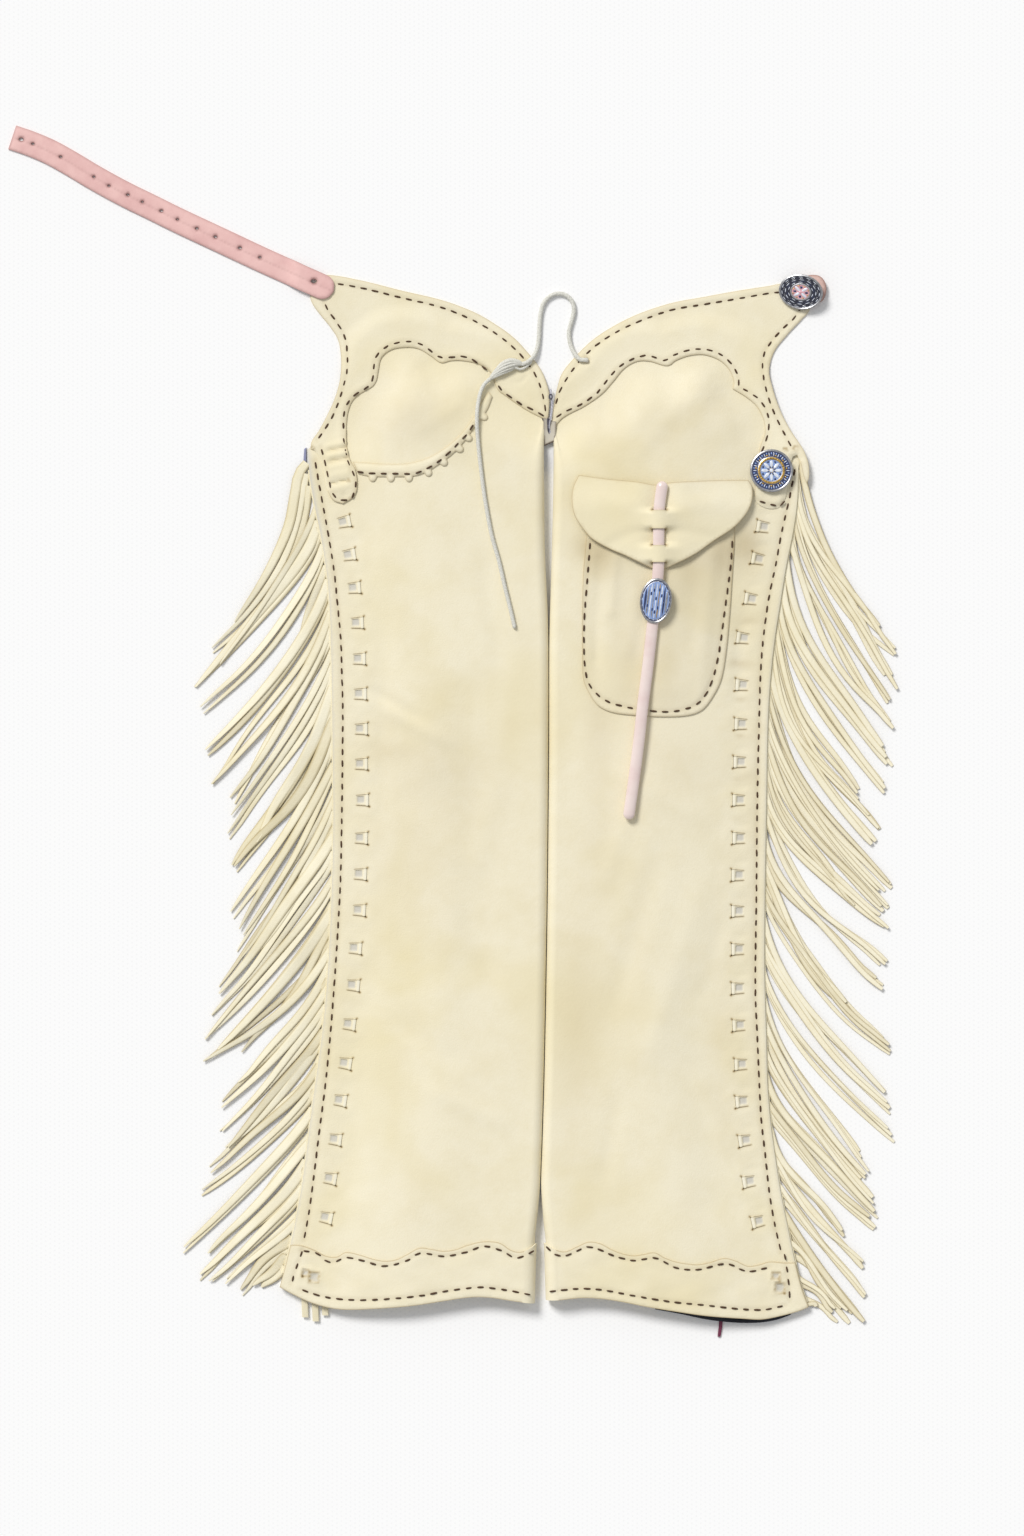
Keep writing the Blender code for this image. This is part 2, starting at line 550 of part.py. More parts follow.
def slot_cutter(side):
    """Shallow square recesses in the front's outer face, one block for each slot."""
    bm = bmesh.new()
    for x, y in LEFT_SLOTS if side.name == "left" else RIGHT_SLOTS:
        half_x = SLOT_SIZE[0] / 2
        half_y = SLOT_SIZE[1] / 2
        middle = x - side.toward_inner * 2.0
        low = []
        for dx, dy in ((-half_x, -half_y), (half_x, -half_y), (half_x, half_y), (-half_x, half_y)):
            low.append((middle + dx, y + dy, side.front(middle + dx, y + dy) - SLOT_DEPTH))
        floor = [bm.verts.new(place(*corner)) for corner in low]
        roof = [bm.verts.new(place(px, py, pz + 4.0)) for px, py, pz in low]
        bm.faces.new((floor[0], floor[1], floor[2]))
        bm.faces.new((floor[0], floor[2], floor[3]))
        bm.faces.new((roof[2], roof[1], roof[0]))
        bm.faces.new((roof[3], roof[2], roof[0]))
        for k in range(4):
            bm.faces.new((floor[k], floor[k - 1], roof[k - 1], roof[k]))
    return as_cutter(add_object("slots_" + side.name, bm, "suede"))


def make_yoke(side):
    """The yoke lies over the leg at the scallop and on the floor beyond it."""
    rows = [y for y in YOKE_ROWS + LEG_ROWS if y <= 516]
    points = {}
    for r, y in enumerate(rows):
        for c, (x, at_y, z, _) in enumerate(side.front_row(y)):
            low = (z + GAP) * side.over_leg(x, at_y)
            points[r, c] = (place(x, at_y, low + LEATHER), place(x, at_y, low))
    # One more column past the seam, for the lobe and the edge of the hip
    for r, y in enumerate(rows):
        x = side.outer(y) - side.toward_inner * 14
        low = (side.front(side.outer(y), y) + GAP) * side.over_leg(x, y)
        points[r, -1] = (place(x, y, low + LEATHER), place(x, y, low))
    cells = [cell(r, c) for r in range(len(rows) - 1) for c in range(-1, FRONT_COUNT)]
    yoke = close_sheet("yoke_" + side.name, points, cells, "suede")
    edge = LEFT_YOKE_EDGE if side.name == "left" else RIGHT_YOKE_EDGE
    trim(yoke, prism("trim_yoke_" + side.name, side.scallop + edge))
    return yoke


def make_hem_band(side):
    """Hem band over the front and round the fold, from its wavy top to just past the hem."""
    rows = [y for y in LEG_ROWS if y >= 1207]
    points = {}
    for r, y in enumerate(rows):
        row = side.front_row(y) + side.fold_row(y)
        for c, (x, at_y, z, (nx, nz)) in enumerate(row[:BAND_COLUMNS + 1]):
            if y == rows[-1]:
                at_y += steps(0.4)
            far = GAP + BAND_LEATHER
            outer = place(x + steps(nx * far), at_y, z + nz * far)
            points[r, c] = (outer, place(x + steps(nx * GAP), at_y, z + nz * GAP))
    cells = [cell(r, c) for r in range(len(rows) - 1) for c in range(BAND_COLUMNS)]
    band = close_sheet("hem_band_" + side.name, points, cells, "suede")
    wave = LEFT_WAVE if side.name == "left" else RIGHT_WAVE
    outline = wave + [(wave[-1][0], 1360), (wave[0][0], 1360)]
    trim(band, prism("trim_band_" + side.name, outline))
    return band


def overlay(name, side, rows, first, last, lift, thickness, outline, colour):
    """A piece that lies on the front of a leg, made from the leg's own points."""
    points = {}
    for r, y in enumerate(rows):
        for c, (x, at_y, z, _) in enumerate(side.front_row(y)):
            points[r, c] = (place(x, at_y, z + lift + thickness), place(x, at_y, z + lift))
    cells = [cell(r, c) for r in range(len(rows) - 1) for c in range(first, last)]
    piece = close_sheet(name, points, cells, colour)
    trim(piece, prism("trim_" + name, outline))
    return piece


def make_pocket(side):
    rows = [y for y in LEG_ROWS if 484 <= y <= 765]
    return overlay("pocket_right", side, rows, 1, FRONT_COUNT, GAP, BAND_LEATHER, POCKET_OUTLINE, "suede")


def make_welt(side):
    """Welt below the pocket mouth, with a small round tab at each of its stitches."""
    bottom = []
    for k in range(len(WELT_BOTTOM) - 1):
        x0, y0 = WELT_BOTTOM[k]
        x1, y1 = WELT_BOTTOM[k + 1]
        length = math.hypot(x1 - x0, y1 - y0)
        bottom.append((x0, y0))
        on_run = []
        for tab in WELT_TABS:
            away, along = distance_to_segment(*tab, x0, y0, x1, y1)
            if away < WELT_TAB_RADIUS and 0.02 < along < 0.98:
                on_run.append(along)
        for along in sorted(on_run):
            mid_x = x0 + (x1 - x0) * along
            mid_y = y0 + (y1 - y0) * along
            for turn in (0.0, 0.25, 0.5, 0.75, 1.0):
                back = math.cos(math.pi * turn) * WELT_TAB_RADIUS * 0.9
                out = math.sin(math.pi * turn) * WELT_TAB_RADIUS * 1.4
                bottom.append((mid_x - (x1 - x0) / length * back + (y1 - y0) / length * out,
                               mid_y - (y1 - y0) / length * back - (x1 - x0) / length * out))
    bottom.append(WELT_BOTTOM[-1])
    rows = [y for y in LEG_ROWS if 376 <= y <= 500]
    return overlay("welt_left", side, rows, 2, FRONT_COUNT, GAP, WELT_LEATHER, WELT_TOP + bottom,
                   "suede")


def thong_x(y):
    return graph([(py, px) for px, py in THONG_ROUTE], y)


def make_flap(side):
    """Pocket flap, lifted by the thong that is laced through its four slits."""
    arch = THONG_HEIGHT / 2 + GAP
    slit_rows = {FLAP_ROWS.index(y) for y in FLAP_SLITS}
    left_columns, right_columns = FLAP_SIDE_COLUMNS
    columns = len(left_columns) + len(FLAP_THONG_COLUMNS) + len(right_columns)
    first_thong = len(left_columns)
    inner_thong = range(first_thong + 1, first_thong + 4)

    def column_x(c, y):
        if c < first_thong:
            return left_columns[c]
        if c < first_thong + len(FLAP_THONG_COLUMNS):
            return thong_x(y) + FLAP_THONG_COLUMNS[c - first_thong]
        return right_columns[c - first_thong - len(FLAP_THONG_COLUMNS)]

    def over_thong(r):
        """Whether the leather of the cells below row r passes over the thong."""
        y = FLAP_ROWS[r]
        return FLAP_SLITS[0] <= y < FLAP_SLITS[1] or FLAP_SLITS[2] <= y < FLAP_SLITS[3]

    def lift(x, y):
        """Height of the flap's middle over the leg: full at the thong, lower at the top corners."""
        at_thong = math.exp(-((x - thong_x(y)) / 30) ** 2)
        loose = 2.0 + 4.6 * ease((y - 474) / 40)
        return loose + (FLAP_LIFT - loose) * at_thong

    def key(r, c, cell_row):
        if c in inner_thong:
            return (r, c, 1 if over_thong(cell_row) else 0)
        return (r, c, 2)

    points = {}
    cells = []
    for r in range(len(FLAP_ROWS) - 1):
        for c in range(columns - 1):
            corners = ((r, c), (r, c + 1), (r + 1, c + 1), (r + 1, c))
            cells.append(tuple(key(i, j, r) for i, j in corners))
            for i, j in corners:
                y = FLAP_ROWS[i]
                x = column_x(j, y)
                level = key(i, j, r)[2]
                base = side.front(x, y)
                if level == 2:
                    low = base + lift(x, y) - BAND_LEATHER / 2
                elif level == 1:
                    low = base + FLAP_LIFT + arch
                else:
                    low = base + FLAP_LIFT - arch - BAND_LEATHER
                if level != 2 and i in slit_rows:
                    y += 0.5 if i == r else -0.5
                points[key(i, j, r)] = (place(x, y, low + BAND_LEATHER), place(x, y, low))
    flap = close_sheet("pocket_flap_right", points, cells, "suede")
    trim(flap, prism("trim_flap", FLAP_OUTLINE))
    return flap


def swept(name, sections, colour, sides=10, roughness=0.6, smooth=True):
    """A closed solid through sections of (centre, across, up), each an ellipse."""
    bm = bmesh.new()
    rings = []
    for centre, across, up in sections:
        ring = []
        for k in range(sides):
            turn = 2 * math.pi * k / sides
            ring.append(bm.verts.new(centre + across * math.cos(turn) + up * math.sin(turn)))
        rings.append(ring)
    for a, b in zip(rings, rings[1:]):
        for k in range(sides):
            bm.faces.new((a[k - 1], a[k], b[k], b[k - 1]))
    bm.faces.new(rings[0])
    bm.faces.new(list(reversed(rings[-1])))
    return add_object(name, bm, colour, smooth=smooth, roughness=roughness)


def level_frame(points, k):
    """The level direction across a route at point k."""
    ahead = points[min(k + 1, len(points) - 1)] - points[max(k - 1, 0)]
    return Vector((ahead.y, -ahead.x, 0.0)).normalized()


def make_thong(side):
    """Round thong: held at the flap's height, then down onto the pocket and the leg."""
    heights = []
    for x, y in THONG_ROUTE:
        on_flap = side.front(x, y) + FLAP_LIFT
        lying = side.front(x, y) + 2 * GAP + BAND_LEATHER + THONG_HEIGHT / 2 + 0.2
        heights.append(on_flap + (lying - on_flap) * ease((y - 573) / 48))
    centres = [place(x, y, z) for (x, y), z in zip(THONG_ROUTE, heights)]
    sections = []
    for k, centre in enumerate(centres):
        across = level_frame(centres, k) * (THONG_WIDTH / 2 * MM)
        sections.append((centre, across, Vector((0, 0, THONG_HEIGHT / 2 * MM))))
    for first, step in ((0, 1), (len(centres) - 1, -1)):
        centre, across, up = sections[first]
        out = (centres[first] - centres[first + step]).normalized() * (THONG_WIDTH * 0.42 * MM)
        caps = [(centre + out * reach, across * size, up * size)
                for reach, size in ((0.6, 0.8), (1.0, 0.35))]
        sections = sections + caps if step < 0 else list(reversed(caps)) + sections
    return swept("pocket_thong", sections, "thong", sides=8, roughness=0.35)


def top_of(pieces):
    """Search trees of finished pieces, to seat others on them."""
    bpy.context.view_layer.update()
    graph_now = bpy.context.evaluated_depsgraph_get()
    trees = []
    for piece in pieces:
        evaluated = piece.evaluated_get(graph_now)
        bm = bmesh.new()
        bm.from_mesh(evaluated.to_mesh())
        trees.append(BVHTree.FromBMesh(bm))
        evaluated.to_mesh_clear()
        bm.free()
    return trees


def height_on(trees, x, y, radius=0.0):
    """Height in mm of the highest surface under a disc round a layout point."""
    best = 0.0
    reaches = (0.0, 0.5, 1.0) if radius else (0.0,)
    for reach in reaches:
        for k in range(8 if reach else 1):
            turn = math.tau * k / 8
            point = place(x, y, 200.0)
            point.x += radius * reach * MM * math.cos(turn)
            point.y += radius * reach * MM * math.sin(turn)
            for tree in trees:
                hit = tree.ray_cast(point, Vector((0, 0, -1)))[0]
                if hit:
                    best = max(best, hit.z / MM)
    return best


def make_concho(name, x, y, length, width, turn, trees):
    """A domed oval plate with a rolled rim, tilted to lie on what is below it."""
    reach = width / 2
    tilt = []
    for dx, dy in ((1, 0), (0, 1)):
        high = height_on(trees, x + steps(dx * reach * 0.8), y + steps(dy * reach * 0.8), 1.0)
        low = height_on(trees, x - steps(dx * reach * 0.8), y - steps(dy * reach * 0.8), 1.0)
        tilt.append((high - low) / (1.6 * reach))
    base = 0.0
    for k in range(24):
        for share in (0.0, 0.25, 0.5, 0.75, 1.0):
            angle = math.tau * k / 24
            u = math.cos(angle) * length / 2 * share
            v = math.sin(angle) * width / 2 * share
            dx = u * math.cos(turn) - v * math.sin(turn)
            dy = u * math.sin(turn) + v * math.cos(turn)
            under = height_on(trees, x + steps(dx), y + steps(dy), 1.5)
            base = max(base, under - tilt[0] * dx - tilt[1] * dy)
    base += GAP

    profile = [  # part of the radius, height share
        (1.0, 0.0), (1.0, 0.45), (0.93, 0.62), (0.84, 0.45), (0.62, 0.78), (0.3, 0.96),
    ]
    bm = bmesh.new()
    count = 24
    rings = []
    for share, rise in profile:
        ring = []
        for k in range(count):
            angle = math.tau * k / count
            u = math.cos(angle) * length / 2 * share
            v = math.sin(angle) * width / 2 * share
            dx = u * math.cos(turn) - v * math.sin(turn)
            dy = u * math.sin(turn) + v * math.cos(turn)
            z = base + tilt[0] * dx + tilt[1] * dy + rise * CONCHO_THICKNESS
            ring.append(bm.verts.new(place(x + steps(dx), y + steps(dy), z)))
        rings.append(ring)
    for a, b in zip(rings, rings[1:]):
        for k in range(count):
            bm.faces.new((a[k - 1], a[k], b[k], b[k - 1]))
    bm.faces.new(rings[0])
    bm.faces.new(list(reversed(rings[-1])))
    return add_object(name, bm, "silver", smooth=True, roughness=0.3, metallic=1.0)


def make_strap(trees):
    """Belt strap on the floor, up over the yoke's tip, with a round end and punched holes."""
    half = steps(STRAP_WIDTH) / 2
    round_off = {len(STRAP_MIDDLE) - 3: 0.96, len(STRAP_MIDDLE) - 2: 0.72, len(STRAP_MIDDLE) - 1: 0.35}
    points = {}
    for r, (x, y) in enumerate(STRAP_MIDDLE):
        x0, y0 = STRAP_MIDDLE[max(r - 1, 0)]
        x1, y1 = STRAP_MIDDLE[min(r + 1, len(STRAP_MIDDLE) - 1)]
        length = math.hypot(x1 - x0, y1 - y0)
        size = half * round_off.get(r, 1.0)
        low = (LEATHER + 2 * GAP) * ease((x - 284) / 16)
        for c, part in enumerate((-1, 0, 1)):
            px = x - (y1 - y0) / length * size * part
            py = y + (x1 - x0) / length * size * part
            points[r, c] = (place(px, py, low + STRAP_THICKNESS), place(px, py, low))
    cells = [cell(r, c) for r in range(len(STRAP_MIDDLE) - 1) for c in range(2)]
    strap = close_sheet("belt_strap_left", points, cells, "belt", roughness=0.5)
    bm = bmesh.new()
    for x, y, radius in STRAP_HOLES:
        start = len(bm.verts)
        bmesh.ops.create_cone(bm, cap_ends=True, segments=8, radius1=radius * MM, radius2=radius * MM,
                              depth=30 * MM)
        bm.verts.ensure_lookup_table()
        middle = place(x, y, 5.0)
        for vert in bm.verts[start:]:
            vert.co += middle
    trim(strap, as_cutter(add_object("strap_holes", bm, "belt")), "DIFFERENCE")
    return strap


def bezier(p0, p1, p2, p3, t):
    return p0 * (1 - t) ** 3 + p1 * 3 * t * (1 - t) ** 2 + p2 * 3 * t * t * (1 - t) + p3 * t ** 3


def grow_strand(bm, a, b, places, low):
    """A strand from the strip's corners a and b through (middle, across, share of the width)."""
    ring = [a[0], a[1], b[1], b[0]]
    for here, across, size in places:
        reach = across * (steps(FRINGE_WIDTH) / 2 * size)
        first = here - reach
        second = here + reach
        new = [bm.verts.new(place(first.x, first.y, low)),
               bm.verts.new(place(first.x, first.y, low + FRINGE_THICKNESS)),
               bm.verts.new(place(second.x, second.y, low + FRINGE_THICKNESS)),
               bm.verts.new(place(second.x, second.y, low))]
        for j in range(4):
            bm.faces.new((ring[j], ring[(j + 1) % 4], new[(j + 1) % 4], new[j]))
        ring = new
    bm.faces.new(ring)


def make_fringe(side, locks):
    """A narrow strip in the outer seam, its outer side cut into strands that lie in three layers."""
    strands = []
    for count, tip_x, tip_y, bow in locks:
        for k in range(count):
            spread = (k - (count - 1) / 2) * 5.0
            strands.append((tip_x + spread * 0.3, tip_y + spread, bow))
    top, bottom = STRIP_Y[side.name]
    out = -side.toward_inner
    pitch = (bottom - top) / len(strands)
    half = steps(FRINGE_WIDTH) / 2
    low = STRIP_BOTTOM
    high = STRIP_BOTTOM + STRIP_THICKNESS

    bm = bmesh.new()

    def station(y, reach):
        """The strip's low and high corner at y, on its outer or inner side."""
        x = side.outer(y) + out * reach
        at_y = side.bend_row(x, y)
        return [bm.verts.new(place(x, at_y, low)), bm.verts.new(place(x, at_y, high))]

    cuts = [top]
    for k in range(len(strands)):
        middle = top + (k + 0.5) * pitch
        cuts += [middle - half, middle + half]
    cuts.append(bottom)
    stations = [station(y, STRIP_OUTER) for y in cuts]
    tucked = TUCKED_STRANDS if side.name == "left" else []
    back_cuts = list(np.linspace(top, bottom - 60, STRIP_BACK_STEPS))
    for root_y, _, _, _ in tucked:
        back_cuts += [root_y - half * 0.8, root_y + half * 0.8]
    back_cuts.append(bottom)
    backs = [station(y, -STRIP_INNER) for y in back_cuts]
    for k in range(0, len(stations) - 1, 2):
        bm.faces.new((*stations[k], *reversed(stations[k + 1])))
    for k, (a, b) in enumerate(zip(backs, backs[1:])):
        if k < STRIP_BACK_STEPS or (k - STRIP_BACK_STEPS) % 2:
            bm.faces.new((*a, *reversed(b)))
    bm.faces.new((*stations[0], *reversed(backs[0])))
    bm.faces.new((*stations[-1], *reversed(backs[-1])))
    around = stations + list(reversed(backs))
    bm.faces.new([corners[0] for corners in around])
    bm.faces.new([corners[1] for corners in around])

    for k, (tip_x, tip_y, bow) in enumerate(strands):
        a = stations[2 * k + 1]
        b = stations[2 * k + 2]
        layer = FRINGE_LAYERS[(2, 1, 0)[k % 3]]
        middle_y = top + (k + 0.5) * pitch
        edge_x = side.outer(middle_y) + out * STRIP_OUTER
        root = Vector((edge_x + out * steps(ROOT_REACH), side.bend_row(edge_x, middle_y), 0.0))
        tip = Vector((tip_x, tip_y, 0.0))
        length = (tip - root).length
        slope = (side.outer(middle_y + 20) - side.outer(middle_y - 20)) / 40
        along_seam = Vector((slope + out * 0.34, 1.0, 0.0)).normalized()
        p1 = root + along_seam * (length * bow)
        p2 = tip + (p1 - tip) * 0.4
        places = [(root, Vector((-0.5 * out, 1.0, 0.0)).normalized(), 0.82)]
        for t in (0.30, 0.64, 1.0):
            here = bezier(root, p1, p2, tip, t)
            ahead = bezier(root, p1, p2, tip, t + 0.03) - bezier(root, p1, p2, tip, t - 0.03)
            across = Vector((-out * ahead.y, out * ahead.x, 0.0)).normalized()
            places.append((here, across, 1.0 - 0.42 * t))
        grow_strand(bm, a, b, places, layer)

    for k, (root_y, turn_x, tip_x, tip_y) in enumerate(tucked):
        a = backs[STRIP_BACK_STEPS + 2 * k]
        b = backs[STRIP_BACK_STEPS + 2 * k + 1]
        turn = Vector((turn_x, root_y + 2, 0.0))
        tip = Vector((tip_x, tip_y, 0.0))
        places = [(turn, Vector((-1.0, 1.0, 0.0)).normalized(), 0.8), (tip, Vector((-1.0, 0.0, 0.0)), 0.8)]
        grow_strand(bm, a, b, places, STRIP_BOTTOM)
    return add_object("fringe_" + side.name, bm, "fringe")


def smooth_route(points, count):
    """Evenly spaced points on a smooth curve through a list of (x, y, z)."""
    route = [Vector(point) for point in points]
    fine = []
    for k in range(len(route) - 1):
        p0 = route[max(k - 1, 0)]
        p1, p2 = route[k], route[k + 1]
        p3 = route[min(k + 2, len(route) - 1)]
        for j in range(12):
            t = j / 12
            fine.append(0.5 * (2 * p1 + (p2 - p0) * t + (2 * p0 - 5 * p1 + 4 * p2 - p3) * t * t
                               + (3 * p1 - p0 - 3 * p2 + p3) * t ** 3))
    fine.append(route[-1])
    lengths = np.cumsum([0.0] + [(b - a).length for a, b in zip(fine, fine[1:])])
    wanted = np.linspace(0.0, lengths[-1], count)
    axes = [np.interp(wanted, lengths, [point[axis] for point in fine]) for axis in range(3)]
    return [Vector(point) for point in zip(*axes)]


def make_cord(name, route, trees, count):
    """Tie lace as a tube that lies on whatever is under it."""
    radius = LACE_DIAMETER / 2
    flat = smooth_route([(x, y, 0.0) for x, y in route], count)
    heights = [height_on(trees, point.x, point.y, radius * 1.1) for point in flat]
    eased = []
    for k in range(count):
        near = heights[max(k - 1, 0):k + 2]
        eased.append(max(near))
    for _ in range(3):
        eased = [max(heights[k], sum(eased[max(k - 1, 0):k + 2]) / len(eased[max(k - 1, 0):k + 2]))
                 for k in range(count)]
    curve = bpy.data.curves.new(name, "CURVE")
    curve.dimensions = "3D"
    curve.bevel_depth = radius * MM
    curve.bevel_resolution = 2
    curve.use_fill_caps = True
    spline = curve.splines.new("POLY")
    spline.points.add(count - 1)
    for k, point in enumerate(flat):
        spline.points[k].co = (*place(point.x, point.y, eased[k] + radius + GAP + 0.1), 1.0)
    obj = bpy.data.objects.new(name, curve)
    bpy.context.scene.collection.objects.link(obj)
    curve.materials.append(material("lace", 0.7))
    return obj


def ellipse_forms(centres, sizes):
    """Sections for swept, level across the route, from (width, height) in mm."""
    forms = []
    for k, (width, height) in enumerate(sizes):
        across = level_frame(centres, k) * (width / 2 * MM)
        forms.append((centres[k], across, Vector((0, 0, height / 2 * MM))))
    return forms


def make_knot(trees):
    """The lace's knot, which lies on the yoke and the welt."""
    centres = []
    for x, y, width, height in KNOT_SECTIONS:
        under = height_on(trees, x, y, width / 2 + 0.5)
        centres.append(place(x, y, under + GAP + height / 2))
    forms = ellipse_forms(centres, [section[2:4] for section in KNOT_SECTIONS])
    return swept("lace_knot", forms, "lace", sides=8, roughness=0.7)


def make_link():
    centres = [place(x, y, z) for x, y, _, _, z in LINK_SECTIONS]
    forms = ellipse_forms(centres, [section[2:4] for section in LINK_SECTIONS])
    return swept("crotch_link", forms, "lace", sides=6, roughness=0.7)


def main():
    clear_scene()
    left = Side("left")
    right = Side("right")
    legs = [make_leg(left), make_leg(right)]
    yokes = [make_yoke(left), make_yoke(right)]
    make_hem_band(left)
    make_hem_band(right)
    welt = make_welt(left)
    make_pocket(right)
    make_flap(right)
    thong = make_thong(right)
    make_fringe(left, LEFT_LOCKS)
    make_fringe(right, RIGHT_LOCKS)

    on_hips = top_of(legs + yokes)
    make_strap(on_hips)
    stub = make_block("belt_stub_right", [(800, 279), (810, 275.5), (820, 277), (825.5, 285),
                                          (825, 296), (820, 302.5), (806, 303)],
                      LEATHER + GAP, LEATHER + GAP + 2 * STRAP_THICKNESS - 0.6, "belt")
    make_concho("concho_belt", 800.5, 292.5, 40.0, 31.5, math.radians(8), top_of(yokes + [stub]))
    make_concho("concho_hip", 770.8, 471.4, ROUND_CONCHO, ROUND_CONCHO, 0.0, on_hips)
    make_concho("concho_oval", 655.0, 601.5, 40.5, 28.5, math.radians(97), top_of([thong]))

    make_block("hem_facing_right", [(679, 1302), (791, 1302), (790, 1313), (776, 1317.6),
                                    (757, 1320), (734, 1320), (707, 1317), (680, 1311.5)],
               LEATHER + GAP, LEATHER + GAP + 1.2, "facing")
    make_block("hem_thong", [(719.8, 1317.2), (723.2, 1317.4), (720.6, 1336.8), (717.4, 1336.2)],
               0.3, 1.9, "burgundy")
    make_block("hip_binding_left", [(304.3, 449), (306.5, 447.6), (306.5, 462.5), (303.4, 462)],
               0.3, 1.9, "binding")

    make_link()
    seats = top_of(legs + yokes + [welt])
    make_knot(seats)
    make_cord("lace", LACE_ROUTE, seats, 22)
    make_cord("lace_tail", LACE_TAIL, seats, 26)


main()
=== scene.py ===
"""Cream suede chaps, laid flat on their back on a white dotted table, seen from straight above.

The layout is drawn as the garment is seen from above, in steps of LAYOUT_STEP, with x to the right
and y down the legs. Heights are in millimetres above the table. The model is in metres, Z up.
"""

import math
import random

import bpy
import numpy as np
from mathutils import Matrix, Vector, geometry
from mathutils.bvhtree import BVHTree


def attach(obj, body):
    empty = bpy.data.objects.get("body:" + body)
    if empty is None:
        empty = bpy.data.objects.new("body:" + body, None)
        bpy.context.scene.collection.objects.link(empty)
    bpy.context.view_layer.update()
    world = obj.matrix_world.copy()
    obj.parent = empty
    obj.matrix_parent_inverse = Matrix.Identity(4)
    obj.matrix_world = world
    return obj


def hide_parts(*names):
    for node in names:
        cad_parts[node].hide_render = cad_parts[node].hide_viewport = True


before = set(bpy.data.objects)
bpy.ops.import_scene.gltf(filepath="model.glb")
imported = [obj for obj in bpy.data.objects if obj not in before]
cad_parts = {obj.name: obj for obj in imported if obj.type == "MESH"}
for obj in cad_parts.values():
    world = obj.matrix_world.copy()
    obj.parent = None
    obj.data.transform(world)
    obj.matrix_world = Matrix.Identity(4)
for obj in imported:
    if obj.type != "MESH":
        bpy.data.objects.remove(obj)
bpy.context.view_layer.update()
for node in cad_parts.values():
    node.select_set(False)

MM = 0.001
LAYOUT_STEP = 0.9 * MM
LAYOUT_CENTRE = (452.9, 731.26)  # layout point that stands at the model's origin
VIEW_CENTRE = (512.0, 768.0)     # layout point that the camera looks at
VIEW_STEPS = (1024, 1536)
CAMERA_HEIGHT = 5.0

# Thicknesses and sizes in mm
LEATHER = 2.0
BAND_LEATHER = 1.5
WELT_LEATHER = 1.2
GAP = 0.3                        # between leathers that lie on each other
STRIP_THICKNESS = 1.5
STRIP_BOTTOM = LEATHER + GAP
SEAM_TOP = STRIP_BOTTOM + STRIP_THICKNESS + GAP + LEATHER
CROWN = 16.0                     # full height of a leg's front
BAND_OVERHANG = 0.4              # how far a band reaches past the leg's hem
STRAP_WIDTH = 22.4
STRAP_THICKNESS = 2.4
THONG_WIDTH = 10.5
THONG_HEIGHT = 6.0
FLAP_LIFT = 8.4                  # from a leg's front up to the thong's middle under the flap
LACE_DIAMETER = 4.2
FRINGE_THICKNESS = 1.2
FRINGE_LAYERS = (2.6, 1.5, 0.4)  # undersides of strands that follow each other

# Places and reaches in layout steps
CROWN_RISE = 125.0               # in which a front rises from its outer seam
SCALLOP_RISE = 45.0              # and from the scallop's line
SCALLOP_BLUR = 13.0              # how far that rise is smoothed over the scallop's cusps
YOKE_FALL = (26.0, 46.0)         # how far outside that line a yoke comes down to the table
BACK_TOP = 470.0                 # row at which a back layer begins
HEM_ZONE = (1225.0, 1300.0)      # rows that are bent to reach from their place to the hem
FOLD_TOP_ROW = {"left": 421.5, "right": 432.0}
SEAM_TOP_ROW = {"left": 450.0, "right": 454.0}
BAND_ROW = 1245.0                # row of a hem band's top at its fold and its seam
STRIP_Y = {"left": (470.0, 1282.0), "right": (470.0, 1296.0)}
STRIP_INNER = 9.0                # how far the fringe's strip reaches in under the front layer
STRIP_OUTER = 1.4                # and out past the leg's edge
SLOT_PUCKER = {"left": 0.25, "right": 0.6}  # depth of the pucker above each slot, mm

# Steps of the meshes
FOLD_PARTS = 12                  # round the half turn of a leg's inner fold
BAND_FOLD = 8                    # how many of them a hem band goes round
BACK_PARTS = 8
LEG_ROWS = 291
LEG_POINTS = (86, 288)           # along a leg's hem and outer seam
BAND_ROWS = 22
BAND_POINTS = (90, 20, 120)      # along a band's hem, seam and wavy top
STRIP_ROWS = 120

# Outlines of the pieces, seen from above
OUTER_EDGE = {  # outer seam of each leg, seen from above: (y, x)
    "left": [
        (262, 298), (430, 303), (448, 307), (484, 311), (516, 317), (541, 322), (586, 328.5), (650, 331.5),
        (753, 333), (830, 333.6), (940, 330), (1020, 324), (1110, 312), (1180, 303), (1240, 292),
        (1270, 286), (1300, 280),
    ],
    "right": [
        (262, 812), (430, 806), (448, 802), (470, 798), (500, 797), (530, 793), (560, 787), (590, 782),
        (650, 773), (710, 768), (800, 766), (960, 764), (1040, 766), (1080, 767), (1120, 770), (1150, 774),
        (1190, 780), (1220, 786), (1250, 793), (1280, 801), (1300, 808),
    ],
}
INNER_EDGE = {  # inner fold of each leg: (y, x)
    "left": [
        (431, 544.8), (446, 544), (500, 544.2), (555, 545), (612, 547.6), (650, 548.4), (750, 548.2),
        (900, 546.8), (1000, 545.2), (1080, 543.5), (1140, 541.7), (1180, 540.2), (1200, 538.8),
        (1220, 536.8), (1240, 534.8), (1260, 534), (1280, 533.4), (1302, 532.8),
    ],
    "right": [
        (431, 552.7), (446, 553.5), (500, 553), (555, 551.6), (612, 549.9), (650, 549.1), (750, 548.9),
        (900, 547.5), (1000, 545.9), (1080, 544.2), (1140, 542.4), (1180, 541), (1200, 541.8),
        (1220, 543.4), (1240, 545.5), (1260, 546.4), (1280, 547), (1302, 547.7),
    ],
}
